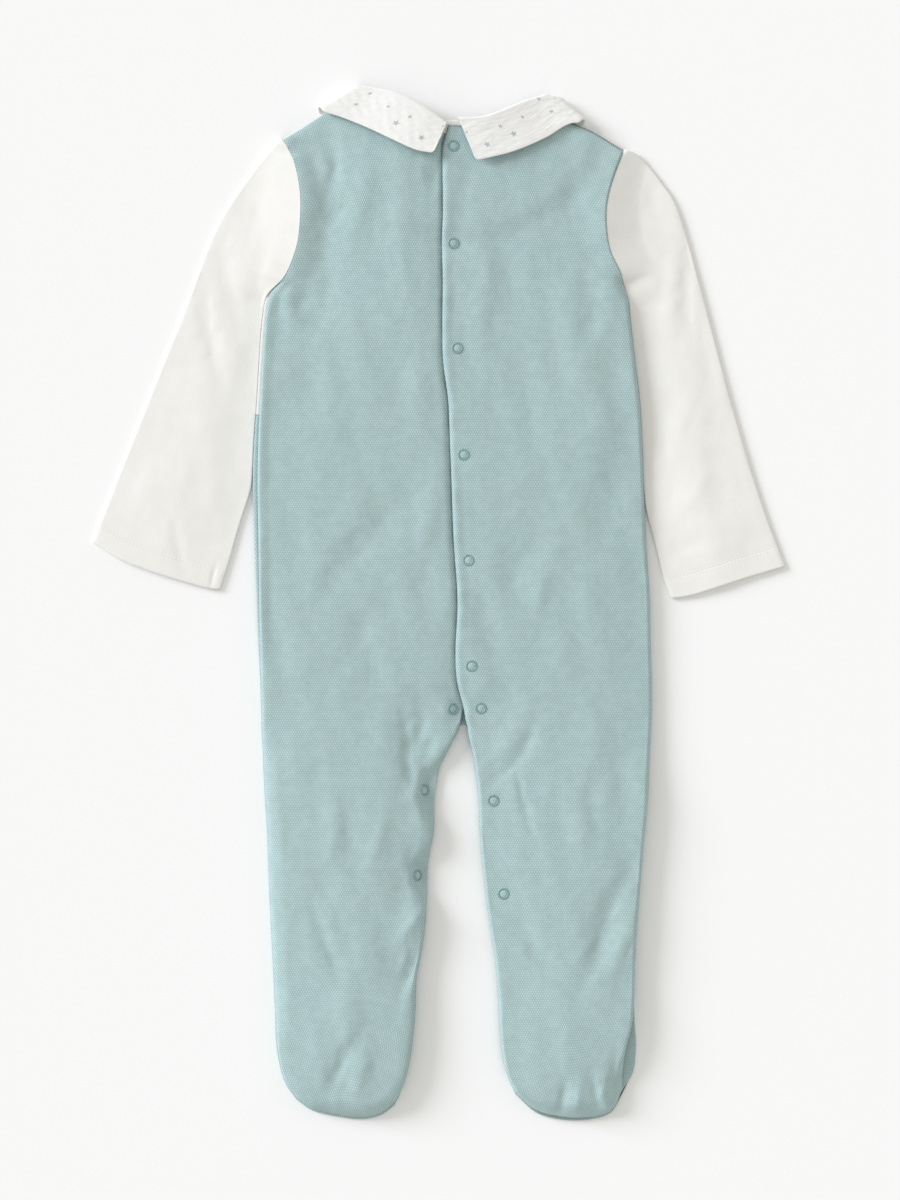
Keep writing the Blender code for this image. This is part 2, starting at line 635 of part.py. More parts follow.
clear_scene()
add_backs()
add_fronts()
add_sleeve("sleeve_left", LEFT_SLEEVE, LEFT_ROWS, -1)
add_sleeve("sleeve_right", RIGHT_SLEEVE, RIGHT_ROWS, 1)
add_collar("collar_left", LEFT_COLLAR, -1, lambda p: 0.0)
add_collar("collar_right", RIGHT_COLLAR, 1, lap_lift)
add_neck_band()
add_snaps()
centre_on_origin()
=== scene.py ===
# Looks of a footed baby sleepsuit laid out flat, face down, with its snapped back uppermost.
# Sizes are in millimetres. +Y runs to the neck, +Z is up and -X is the wearer's left.
import math

import bmesh
import bpy
import numpy as np
from mathutils import Matrix, Vector, kdtree


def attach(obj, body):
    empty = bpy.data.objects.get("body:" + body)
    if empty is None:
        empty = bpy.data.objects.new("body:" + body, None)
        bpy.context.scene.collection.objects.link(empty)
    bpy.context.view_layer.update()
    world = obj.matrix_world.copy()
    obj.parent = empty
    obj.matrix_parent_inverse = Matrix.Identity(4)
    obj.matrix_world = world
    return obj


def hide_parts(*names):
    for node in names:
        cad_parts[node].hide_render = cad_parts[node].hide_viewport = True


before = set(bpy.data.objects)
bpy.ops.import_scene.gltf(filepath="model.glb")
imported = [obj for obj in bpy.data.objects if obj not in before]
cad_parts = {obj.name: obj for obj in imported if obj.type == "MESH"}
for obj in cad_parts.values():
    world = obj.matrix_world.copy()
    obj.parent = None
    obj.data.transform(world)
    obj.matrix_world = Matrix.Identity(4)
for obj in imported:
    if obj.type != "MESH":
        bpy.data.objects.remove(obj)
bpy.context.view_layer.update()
mm = 0.001
print("frame loaded")

layers = {
    "bodyWall": 1.3,
    "sleeveWall": 0.9,
    "collarWall": 1.2,
    "bandWall": 1.0,
    "seamGap": 0.3,
    "puff": 4.3,  # room between front and back, most of it reached right behind the side seams
    "puffReach": (1.8, 8.0),
    "puffShare": 0.74,
    "steeperRight": 0.2,  # more of it on the right half
    "swell": 2.0,  # more room further in
    "swellReach": 44.0,
    "legPuff": 2.1,  # the filled-out legs and feet
    "legsFrom": (-60.0, -130.0),
    "footPuff": 1.2,
    "feetFrom": (-235.0, -280.0),
    "legLean": 1.5,  # the legs are fuller towards the right
    "leanFrom": (-95.0, -150.0),
    "legMiddles": (-60.0, 84.0),
    "legHalf": 48.0,
    "steepInnerLeg": 0.97,  # the right leg's inner edge starts steepest
    # Where the edge is softer: x, y, size and by how much
    "slackZones": [(-5.0, -121.0, 17.0, 10.0), (-11.0, -176.0, 14.0, 8.0), (-109.0, 200.0, 9.0, 3.0),
                   (119.0, 203.0, 10.0, 3.0), (110.0, -312.0, 15.0, 5.0), (-68.0, -329.0, 17.0, 3.5),
                   (-44.0, -329.0, 17.0, 3.5), (66.0, -329.0, 15.0, 6.0), (90.0, -331.0, 15.0, 6.0),
                   (-112.0, -110.0, 24.0, 2.8), (-109.0, -160.0, 27.0, 3.0), (-106.0, -212.0, 27.0, 3.0),
                   (-104.0, -258.0, 22.0, 2.0), (25.0, -100.0, 20.0, -0.6), (31.0, -145.0, 24.0, -0.7),
                   (33.0, -190.0, 24.0, -0.7), (39.0, -240.0, 24.0, -0.7)],
    "fullySoft": 6.0,
    "armLow": 0.68,  # the left armhole lies flatter
    "armLowReach": 44.0,
    "besideArm": 1.9,  # the right side stands higher beside the sleeve
    "besideArmZone": ((55.0, 105.0), (70.0, 115.0), (222.0, 196.0)),  # inner, lower and upper fade
    "sideRaise": 1.6,  # the left side seam stands off the surface
    "sideRaiseZone": (9.0, (-45.0, 0.0), (214.0, 200.0)),  # reach, lower and upper fade
    "shoulderFade": (-3.0, 52.0),
    "shoulderStep": (0.35, 6.0),  # of the room, what is reached right behind the shoulder seams
    "lapRise": 0.55,
    "lapFade": 26.0,
    "dip": 3.2,  # the left panel sinks below the placket's edge
    "dipWide": (14.0, 5.5),  # over so far, at the waist's ends and at the waist
    "dipEdge": 3.6,  # and most of it right beside the edge
    # How much the left and right armholes stand proud, and over so far
    "armRidges": [(2.9, 18.0), (1.9, 23.0)],
    "ridgeFade": 18.0,  # towards the side seams
    "lapEnd": (-90.0, -68.0),
    "crotch": (16.0, -79.0),
    "waistSeam": 119.0,
    "neckCentre": (10.5, 338.5),
    "frontRaise": 1.55,
    "frontRaiseRadii": (112.0, 97.0),
    "shift": (0.0, -0.26, 0.0),  # puts the middle of the outline over the origin
}


# Curves and soft steps, on arrays


def ease(low, high, value):
    u = np.clip((value - low) / (high - low), 0.0, 1.0)
    return u * u * (3.0 - 2.0 * u)


def between(a, b, share):
    return a + (b - a) * share


def bell(far, size):
    return np.exp(-((far / size) ** 2))


def quarterRound(gap, reach):
    # Rises from 0 to 1 over the reach, as a quarter of a circle does
    return np.sqrt(1.0 - (1.0 - np.minimum(gap / reach, 1.0)) ** 2)


def unit(v):
    return v / np.linalg.norm(v, axis=-1, keepdims=True)


def onCurve(points, place):
    # The smooth curve through the points, at places counted in points from 0
    points = np.asarray(points, float)
    held = np.vstack([2 * points[0] - points[1], points, 2 * points[-1] - points[-2]])
    place = np.clip(place, 0.0, len(points) - 1.0)
    k = np.minimum(place.astype(int), len(points) - 2)
    f = (place - k)[:, None]
    a, b, c, d = held[k], held[k + 1], held[k + 2], held[k + 3]
    return 0.5 * (2 * b + (c - a) * f + (2 * a - 5 * b + 4 * c - d) * f**2 + (3 * b - a - 3 * c + d) * f**3)


def lengths(line):
    return np.append(0.0, np.cumsum(np.linalg.norm(np.diff(line, axis=0), axis=1)))


def along(line, share):
    # Points of a fine line at shares of its length
    run = lengths(line)
    return np.stack([np.interp(share * run[-1], run, line[:, k]) for k in range(line.shape[1])], axis=1)


def smoothLine(points, count=600):
    return onCurve(points, np.linspace(0, len(points) - 1, count))


def lineDistance(p, line):
    # Distance of every point from a line, and the share of the line where it is nearest
    best = np.full(len(p), 1e9)
    share = np.zeros(len(p))
    for k, (a, b) in enumerate(zip(line, line[1:])):
        step = b - a
        u = np.clip(((p - a) @ step) / max(step @ step, 1e-9), 0.0, 1.0)
        gap = np.linalg.norm(p - a - u[:, None] * step, axis=1)
        nearer = gap < best
        best[nearer] = gap[nearer]
        share[nearer] = (k + u[nearer]) / (len(line) - 1)
    return best, share


def nearestFinder(fine):
    # Finds which point of a fine line is nearest
    tree = kdtree.KDTree(len(fine))
    for number, (x, y) in enumerate(fine.tolist()):
        tree.insert((x, y, 0.0), number)
    tree.balance()
    return lambda p: np.array([tree.find((x, y, 0.0))[1] for x, y in p.tolist()])


def lineFinder(line, step=0.4):
    # Measures how far points lie from a fixed line
    fine = along(line, np.linspace(0, 1, max(3, int(lengths(line)[-1] / step))))
    find = nearestFinder(fine)

    def measure(p):
        nearest = find(p)
        gap = np.full(len(p), 1e9)
        for shift in (-1, 0):
            k = np.clip(nearest + shift, 0, len(fine) - 2)
            a, b = fine[k], fine[k + 1]
            u = np.clip(np.sum((p - a) * (b - a), axis=1) / np.sum((b - a) ** 2, axis=1), 0.0, 1.0)
            gap = np.minimum(gap, np.linalg.norm(p - a - u[:, None] * (b - a), axis=1))
        return gap

    return measure


def ripple(p, size, seed):
    # An uneven soft field between about -1 and 1, with hills about as far apart as size
    source = np.random.default_rng(seed)
    total = np.zeros(len(p))
    for _ in range(8):
        turn = source.uniform(0, math.pi)
        wave = 2 * math.pi / (size * source.uniform(0.75, 1.6))
        total += np.sin((p[:, 0] * math.cos(turn) + p[:, 1] * math.sin(turn)) * wave + source.uniform(0, 6.3))
    return total / 4.0


def streaks(p, seed=5):
    # Long soft waves between about -1 and 1 that run down the cloth
    source = np.random.default_rng(seed)
    total = np.zeros(len(p))
    for _ in range(9):
        lean = math.radians(source.uniform(-30, 30))
        wave = 2 * math.pi / source.uniform(19, 52)
        swing = 1.4 * np.sin(p[:, 1] * 2 * math.pi / source.uniform(90, 190) + source.uniform(0, 6.3))
        across = p[:, 0] * math.cos(lean) + p[:, 1] * math.sin(lean)
        total += np.sin(across * wave + swing + source.uniform(0, 6.3))
    return total / 4.0


folding = {
    "reach": 3.2,  # widths past which a fold is left out
    "uneven": (0.28, 2.2),  # how much its width changes, over so many widths
    "ends": 0.35,  # how deep its ends are, over this share of its length
}


def foldField(p, folds, seed=3):
    # Soft troughs and ridges. Each row gives a depth, a width and the path that the fold follows.
    total = np.zeros(len(p))
    for number, (depth, width, path) in enumerate(folds):
        line = smoothLine(path, 5 * len(path))
        reach = width * folding["reach"]
        close = np.all((p > line.min(0) - reach) & (p < line.max(0) + reach), axis=1)
        if not close.any():
            continue
        q = p[close]
        gap, share = lineDistance(q, line)
        much, size = folding["uneven"]
        uneven = 1.0 + much * ripple(q, width * size, seed + number)
        ends = between(folding["ends"], 1.0, ease(0.0, folding["ends"], np.minimum(share, 1.0 - share)))
        total[close] += depth * bell(gap, width * uneven) * ends
    return total


def softMax(a, b, round=0.3):
    return 0.5 * (a + b + np.sqrt((a - b) ** 2 + round**2))


# Meshes


def paramGrid(columns, rows):
    # Two skins of a flat grid, x and y from 0 to 1. The lower skin has z 0 and the upper one z 1.
    work = bmesh.new()
    bmesh.ops.create_grid(work, x_segments=columns, y_segments=rows, size=0.5)
    bmesh.ops.translate(work, vec=(0.5, 0.5, 0.0), verts=work.verts)
    raised = bmesh.ops.extrude_face_region(work, geom=list(work.faces))["geom"]
    raised = [v for v in raised if isinstance(v, bmesh.types.BMVert)]
    bmesh.ops.translate(work, vec=(0.0, 0.0, 1.0), verts=raised)
    return work


def params(work):
    spots = np.array([v.co for v in work.verts])
    return spots[:, 0], spots[:, 1], spots[:, 2]


def putVerts(work, spots):
    for v, spot in zip(work.verts, spots.tolist()):
        v.co = spot


def isWall(face):
    # Whether it joins the two skins
    return 0.1 < face.calc_center_median().z < 0.9


def rimEdges(work):
    # The edges where the skins meet the walls
    return [e for e in work.edges
            if abs(e.verts[0].co.z - e.verts[1].co.z) < 0.5 and any(isWall(f) for f in e.link_faces)]


def roundRims(work, rims, size):
    bmesh.ops.bevel(work, geom=[e for e in rims if e.is_valid], offset=size, offset_type="OFFSET", segments=2,
                    profile=0.5, affect="EDGES", material=-1, clamp_overlap=False)


def finishPiece(name, work, material, node=None, uvOf=None):
    bmesh.ops.recalc_face_normals(work, faces=work.faces)
    bmesh.ops.translate(work, vec=layers["shift"], verts=work.verts)
    mesh = bpy.data.meshes.new(name)
    work.to_mesh(mesh)
    work.free()
    mesh.materials.append(material)
    mesh.shade_smooth()
    if uvOf:
        spots = np.zeros(len(mesh.vertices) * 3)
        mesh.vertices.foreach_get("co", spots)
        corners = np.zeros(len(mesh.loops), int)
        mesh.loops.foreach_get("vertex_index", corners)
        cloth = uvOf(spots.reshape(-1, 3))[corners]
        mesh.uv_layers.new(name="cloth").data.foreach_set("uv", cloth.ravel())
    mesh.transform(Matrix.Scale(mm, 4))
    piece = bpy.data.objects.new(name, mesh)
    bpy.context.scene.collection.objects.link(piece)
    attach(piece, "root")
    if node:
        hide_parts(node)
    return piece


# Node helpers


class Signal:
    # An output socket on which Python's operators add Math nodes
    def __init__(self, socket):
        self.socket = socket
        self.tree = socket.id_data

    def math(self, operation, first, second=0.0):
        node = addNode(self.tree, "ShaderNodeMath", {"operation": operation}, {0: first, 1: second})
        return Signal(node.outputs[0])

    def __add__(self, other):
        return self.math("ADD", self, other)

    def __radd__(self, other):
        return self.math("ADD", other, self)

    def __sub__(self, other):
        return self.math("SUBTRACT", self, other)

    def __rsub__(self, other):
        return self.math("SUBTRACT", other, self)

    def __mul__(self, other):
        return self.math("MULTIPLY", self, other)

    def __rmul__(self, other):
        return self.math("MULTIPLY", other, self)

    def __pow__(self, other):
        return self.math("POWER", self, other)

    def cos(self):
        return self.math("COSINE", self)

    def sin(self):
        return self.math("SINE", self)

    def size(self):
        return self.math("ABSOLUTE", self)

    def step(self, low, high):
        # 0 below low and 1 above high, with a soft rise between them
        settings = {"interpolation_type": "SMOOTHSTEP"}
        values = {"Value": self, "From Min": low, "From Max": high}
        return Signal(addNode(self.tree, "ShaderNodeMapRange", settings, values).outputs["Result"])


def addNode(tree, kind, settings=None, values=None):
    node = tree.nodes.new(kind)
    for name, value in (settings or {}).items():
        setattr(node, name, value)
    for name, value in (values or {}).items():
        if isinstance(value, Signal):
            tree.links.new(value.socket, node.inputs[name])
        else:
            node.inputs[name].default_value = value
    return node


def blendColour(tree, factor, first, second):
    values = {0: factor}
    for place, colour in ((6, first), (7, second)):
        values[place] = colour if isinstance(colour, Signal) else (*colour, 1.0)
    return Signal(addNode(tree, "ShaderNodeMix", {"data_type": "RGBA"}, values).outputs[2])


def newMaterial(name, roughness, metallic=0.0, specular=0.5, sheen=0.0):
    material = bpy.data.materials.new(name)
    material.use_nodes = True
    shader = material.node_tree.nodes["Principled BSDF"]
    shader.inputs["Roughness"].default_value = roughness
    shader.inputs["Metallic"].default_value = metallic
    shader.inputs["Specular IOR Level"].default_value = specular
    shader.inputs["Sheen Weight"].default_value = sheen
    shader.inputs["Sheen Roughness"].default_value = 0.5
    return material, material.node_tree, shader


def clothCoords(tree):
    # Places on the cloth in millimetres, from the piece's own map
    uv = addNode(tree, "ShaderNodeUVMap", {"uv_map": "cloth"})
    split = addNode(tree, "ShaderNodeSeparateXYZ", None, {"Vector": Signal(uv.outputs["UV"])})
    return Signal(uv.outputs["UV"]), Signal(split.outputs["X"]), Signal(split.outputs["Y"])


def noise(tree, vector, scale, detail=2.0):
    values = {"Vector": vector, "Scale": scale, "Detail": detail}
    return Signal(addNode(tree, "ShaderNodeTexNoise", {"noise_dimensions": "2D"}, values).outputs["Fac"])


def grainOf(tree, scale, detail):
    # Fine unevenness of a solid piece
    coords = Signal(addNode(tree, "ShaderNodeTexCoord").outputs["Object"])
    values = {"Vector": coords, "Scale": scale, "Detail": detail}
    return Signal(addNode(tree, "ShaderNodeTexNoise", None, values).outputs["Fac"])


def stretched(tree, vector, turn, size):
    values = {"Vector": vector, "Rotation": (0.0, 0.0, math.radians(turn)), "Scale": (size[0], size[1], 1.0)}
    return Signal(addNode(tree, "ShaderNodeMapping", None, values).outputs["Vector"])


def bumpInto(tree, shader, height, depth=1.0):
    # Height is in millimetres
    bump = addNode(tree, "ShaderNodeBump", None, {"Height": height, "Distance": mm * depth, "Strength": 1.0})
    tree.links.new(bump.outputs["Normal"], shader.inputs["Normal"])


def feed(tree, shader, name, signal):
    tree.links.new(signal.socket, shader.inputs[name])


# Finishes

knit = {
    "pip": 1.54,  # between the raised stitches of a row
    "row": 1.44,
    "ground": (0.320, 0.445, 0.453),
    "bluer": (0.551, 0.698, 0.717),
    "greener": (0.556, 0.701, 0.696),
}


def knitFinish():
    material, tree, shader = newMaterial("honeycombKnit", 0.88, specular=0.2, sheen=0.06)
    place, u, v = clothCoords(tree)
    stray = noise(tree, place, 0.5, 1.0)
    across = ((u + stray * 0.3) * (2 * math.pi / knit["pip"])).cos()
    down = ((v + stray * 0.25) * (math.pi / knit["row"])).cos()
    lines = ((v + stray * 0.25) * (2 * math.pi / knit["row"])).cos()
    pips = (across * down + lines * 0.32).step(-0.45, 1.0)
    yarn = noise(tree, place, 2.6, 2.0)
    clusters = noise(tree, place, 0.17, 2.0)
    broad = noise(tree, place, 0.03, 2.0)
    raised = blendColour(tree, broad.step(0.3, 0.7), knit["bluer"], knit["greener"])
    stitched = pips * 0.8 + yarn * 0.25 + clusters.step(0.3, 0.7) * 0.12 - 0.09
    feed(tree, shader, "Base Color", blendColour(tree, stitched, knit["ground"], raised))
    feed(tree, shader, "Roughness", yarn * 0.12 + 0.8)
    bumpInto(tree, shader, pips * 0.12 + yarn * 0.05)
    return material


jersey = {
    "light": (0.868, 0.857, 0.828),
    "dark": (0.830, 0.819, 0.790),
    "wale": 0.95,
}


def jerseyFinish():
    material, tree, shader = newMaterial("whiteJersey", 0.92, specular=0.15, sheen=0.08)
    place, u, _ = clothCoords(tree)
    stray = noise(tree, place, 0.7, 1.0)
    wales = ((u + stray * 0.5) * (2 * math.pi / jersey["wale"])).cos() * 0.5 + 0.5
    nap = noise(tree, place, 2.4, 4.0)
    clouds = noise(tree, place, 0.11, 3.0)
    mixture = clouds.step(0.25, 0.75) * 0.45 + nap * 0.35 + wales * 0.2
    feed(tree, shader, "Base Color", blendColour(tree, mixture, jersey["light"], jersey["dark"]))
    feed(tree, shader, "Roughness", nap * 0.1 + 0.86)
    bumpInto(tree, shader, wales * 0.02 + nap * 0.09)
    return material


muslin = {
    "light": (0.862, 0.855, 0.841),
    "dark": (0.834, 0.827, 0.812),
    "star": (0.330, 0.430, 0.475),
    "starRoom": 16.5,  # one star in each cell of about this size
    "starSize": (1.0, 2.3),
    "starNotch": 0.45,  # of the way out to the tips
    "weave": 0.55,
}


def starMask(tree, place):
    # Small five-pointed stars scattered one to a cell, some larger and some left out
    room = muslin["starRoom"]
    cells = addNode(tree, "ShaderNodeTexVoronoi", {"voronoi_dimensions": "2D"},
                    {"Vector": place, "Scale": 1.0 / room, "Randomness": 0.78})
    gap = addNode(tree, "ShaderNodeVectorMath", {"operation": "SUBTRACT"},
                  {0: place, 1: Signal(cells.outputs["Position"])})
    chance = addNode(tree, "ShaderNodeSeparateColor", None, {"Color": Signal(cells.outputs["Color"])})
    lot, spin = Signal(chance.outputs[0]), Signal(chance.outputs[1])
    split = addNode(tree, "ShaderNodeSeparateXYZ", None, {"Vector": Signal(gap.outputs[0])})
    x, y = Signal(split.outputs["X"]), Signal(split.outputs["Y"])
    far = (x * x + y * y) ** 0.5
    fifth = 2 * math.pi / 5
    turn = x.math("ARCTAN2", y, x) + spin * 1.2
    folded = (turn.math("MODULO", turn + 20 * fifth, fifth) - fifth / 2).size()
    # One edge runs from the tip at the fold's end to the notch at its middle
    tip = np.array([math.cos(fifth / 2), math.sin(fifth / 2)])
    notch = np.array([muslin["starNotch"], 0.0])
    normal = unit(np.array([tip[1] - notch[1], notch[0] - tip[0]]))
    reach = far * (folded.cos() * float(normal[0]) + folded.sin() * float(normal[1]))
    low, high = muslin["starSize"]
    limit = (lot.step(0.35, 0.95) * (high - low) + low) * float(normal @ notch)
    inside = 1.0 - (reach - limit).step(-0.10, 0.14)
    return inside * lot.step(0.12, 0.13)


def muslinFinish():
    material, tree, shader = newMaterial("starMuslin", 0.9, specular=0.15, sheen=0.05)
    place, u, v = clothCoords(tree)
    threads = (u * (2 * math.pi / muslin["weave"])).cos() * (v * (2 * math.pi / muslin["weave"])).cos()
    long = noise(tree, stretched(tree, place, 12, (0.09, 0.42)), 1.0, 3.0)
    cross = noise(tree, stretched(tree, place, 78, (0.10, 0.36)), 1.0, 3.0)
    small = noise(tree, place, 0.55, 3.0)
    crinkle = long.step(0.35, 0.65) * 0.4 + cross.step(0.4, 0.7) * 0.35 + small * 0.25
    mask = starMask(tree, place)
    cloth = blendColour(tree, crinkle * 0.75 + threads * 0.1, muslin["dark"], muslin["light"])
    feed(tree, shader, "Base Color", blendColour(tree, mask * 0.78, cloth, muslin["star"]))
    feed(tree, shader, "Roughness", small * 0.12 + 0.84)
    bumpInto(tree, shader, crinkle * 0.24 + threads * 0.02)
    return material


enamel = {"colour": (0.185, 0.330, 0.342), "worn": (0.270, 0.420, 0.425)}
metal = {"dark": (0.50, 0.50, 0.48), "light": (0.64, 0.64, 0.62)}


def enamelFinish():
    material, tree, shader = newMaterial("snapEnamel", 0.4, specular=0.45)
    grain = grainOf(tree, 900.0, 3.0)
    feed(tree, shader, "Base Color", blendColour(tree, grain.step(0.35, 0.7), enamel["colour"], enamel["worn"]))
    feed(tree, shader, "Roughness", grain * 0.2 + 0.32)
    bumpInto(tree, shader, grain * 0.03)
    return material


def metalFinish():
    material, tree, shader = newMaterial("snapMetal", 0.35, metallic=1.0)
    grain = grainOf(tree, 1400.0, 4.0)
    feed(tree, shader, "Base Color", blendColour(tree, grain, metal["dark"], metal["light"]))
    feed(tree, shader, "Roughness", grain * 0.25 + 0.22)
    bumpInto(tree, shader, grain * 0.02)
    return material


def threadFinish(name, dark, light):
    material, tree, shader = newMaterial(name, 0.7, specular=0.3)
    twist = grainOf(tree, 2600.0, 2.0)
    feed(tree, shader, "Base Color", blendColour(tree, twist, dark, light))
    bumpInto(tree, shader, twist * 0.04)
    return material


knitCloth = knitFinish()
jerseyCloth = jerseyFinish()
muslinCloth = muslinFinish()
ringEnamel = enamelFinish()
studMetal = metalFinish()
whiteThread = threadFinish("whiteThread", (0.74, 0.74, 0.69), (0.86, 0.86, 0.81))
# The side seam's thread: darker teal than the cloth, partly the real thread and partly painted shade of the
# seam's crevice
tealThreadAndShade = threadFinish("tealThreadAndShade", (0.16, 0.27, 0.28), (0.30, 0.43, 0.43))
print("finishes made")

# The body. Rows run from the shoulder to the toe: the outer edge (armhole and side), the inner edge
# (placket and inner leg), and how far the front shows outside the back.

leftPanel = {
    "rows": [
        (-99.5, 295.0, 19.5, 303.5, 0.0),
        (-92.5, 281.5, 17.5, 288.0, 0.0),
        (-88.5, 262.0, 17.0, 266.0, 0.0),
        (-88.5, 242.5, 15.5, 246.0, 0.0),
        (-91.0, 225.5, 15.0, 227.0, 0.0),
        (-98.0, 208.0, 15.5, 209.0, 0.3),
        (-108.0, 196.0, 16.0, 195.0, 1.4),
        (-111.0, 180.0, 16.5, 180.0, 1.8),
        (-113.0, 154.0, 17.0, 154.0, 1.8),
        (-114.5, 128.5, 19.0, 128.5, 1.8),
        (-115.5, 103.0, 21.0, 103.0, 2.6),
        (-116.0, 77.5, 22.5, 77.5, 3.0),
        (-115.5, 39.0, 24.0, 39.0, 2.4),
        (-115.0, 0.5, 26.0, 0.5, 1.4),
        (-114.5, -30.0, 26.0, -30.0, 0.8),
        (-114.0, -50.0, 23.5, -50.0, 0.4),
        (-113.5, -69.0, 15.8, -69.0, 0.3),
        (-113.2, -83.0, 12.5, -83.0, 0.3),
        (-112.5, -95.0, 6.5, -95.0, 0.3),
        (-112.0, -108.0, 0.5, -108.0, 0.3),
        (-111.0, -127.0, -2.5, -127.0, 0.3),
        (-109.7, -147.0, -3.0, -147.0, 0.3),
        (-109.0, -167.0, -6.5, -167.0, 0.3),
        (-108.0, -191.5, -7.5, -191.5, 0.3),
        (-106.8, -217.0, -9.5, -217.0, 0.3),
        (-105.5, -242.5, -14.0, -242.5, 0.3),
        (-104.5, -265.0, -15.0, -265.0, 0.3),
        (-103.8, -282.0, -16.5, -281.0, 0.4),
        (-101.5, -297.0, -18.5, -295.0, 0.8),
        (-97.5, -309.0, -22.0, -309.0, 1.2),
        (-90.5, -318.5, -28.5, -322.0, 1.2),
    ],
    "shoulder": [(-99.5, 295.0), (-80.5, 307.0), (-54.0, 324.3)],
    "neck": [(-54.0, 324.3), (-33.0, 320.3), (-14.0, 311.0), (-1.0, 301.8), (6.0, 300.8), (19.5, 303.5)],
    "toe": [(-90.5, -318.5), (-80.0, -325.5), (-62.0, -329.4), (-49.5, -330.6), (-37.5, -328.3),
            (-28.5, -322.0)],
    "side": -1,
    "underarm": 203.0,
}
rightPanel = {
    "rows": [
        (118.5, 288.0, 6.5, 303.5, 0.0),
        (112.5, 272.5, 3.0, 290.0, 0.0),
        (108.0, 256.5, 3.0, 269.5, 0.0),
        (107.0, 241.5, 3.2, 250.0, 0.0),
        (109.5, 224.0, 2.5, 228.5, 0.0),
        (116.5, 209.0, 3.0, 209.0, 0.0),
        (121.0, 195.0, 3.0, 195.0, 0.0),
        (122.5, 180.0, 2.8, 180.0, 0.0),
        (125.5, 154.0, 3.2, 154.0, 0.0),
        (128.5, 128.5, 6.5, 128.5, 0.0),
        (130.0, 103.0, 7.6, 103.0, 0.0),
        (131.0, 77.5, 8.6, 77.5, 0.0),
        (132.7, 39.0, 10.0, 39.0, 0.0),
        (135.0, 0.5, 12.5, 0.5, 0.0),
        (135.6, -30.0, 11.2, -30.0, 0.0),
        (136.2, -50.0, 12.0, -50.0, 0.0),
        (136.3, -69.0, 16.5, -69.0, 0.0),
        (135.7, -84.5, 19.0, -84.5, 0.0),
        (135.0, -99.5, 22.5, -99.5, 0.0),
        (134.5, -114.0, 24.5, -114.0, 0.0),
        (133.8, -129.0, 26.0, -129.0, 0.0),
        (131.5, -153.0, 27.0, -153.0, 0.0),
        (129.3, -178.5, 29.5, -178.5, 0.0),
        (127.3, -204.0, 32.5, -204.0, 0.0),
        (125.7, -230.0, 36.5, -230.0, 0.0),
        (125.0, -255.0, 38.5, -255.0, 0.3),
        (123.5, -272.0, 39.3, -273.0, 2.4),
        (119.8, -287.0, 40.5, -288.0, 7.4),
        (117.8, -301.0, 43.5, -302.0, 9.4),
        (117.5, -313.0, 49.5, -315.0, 3.5),
    ],
    "shoulder": [(118.5, 288.0), (99.5, 299.5), (84.0, 306.7), (72.0, 315.8)],
    "neck": [(72.0, 315.8), (54.0, 312.5), (40.0, 306.4), (27.0, 302.4), (14.0, 303.2), (6.5, 303.5)],
    "toe": [(117.5, -313.0), (111.0, -326.0), (97.0, -330.8), (80.0, -331.0), (63.0, -326.8), (49.5, -315.0)],
    "side": 1,
    "underarm": 204.0,
}
body = {
    "columns": 88,
    "rows": 390,
    "shoulderColumns": 32,  # of the columns, those that start at the shoulder seam
    "headRows": 6,
    "toeRows": 6,
    "edgeCurl": (1.1, 2.6),  # the placket's edge turns down by so much over so far
    "groove": (0.28, 6.5, 2.6),  # beside it: depth, how far in and width
    "edgeWave": (0.3, 3.0),
    "gape": (0.5, 7.0),  # the placket lifts by this much between two snaps, over so far
    "levelFrom": 14.0,  # the cloth is level from so far inside the side seams
    "rimRound": 0.36,
    "snapDip": (0.45, 7.5),  # the cloth is drawn down round a snap by so much over so far
    "snapLeans": (0.4, 0.55, 0.5),
    "leanReach": 6.5,
    "streaks": 0.36,
    "ripples": [(0.12, 44, 11), (0.07, 21, 12), (0.03, 9, 13)],  # height, size and seed
}
placketSnaps = [(9.5, 290.5), (9.5, 228.5), (12.0, 161.5), (16.0, 93.5), (19.0, 26.0), (21.0, -41.5)]
legSnaps = [(9.0, -69.0), (-9.0, -121.0), (-13.5, -175.5), (27.0, -68.5), (35.0, -127.5), (41.5, -187.0)]

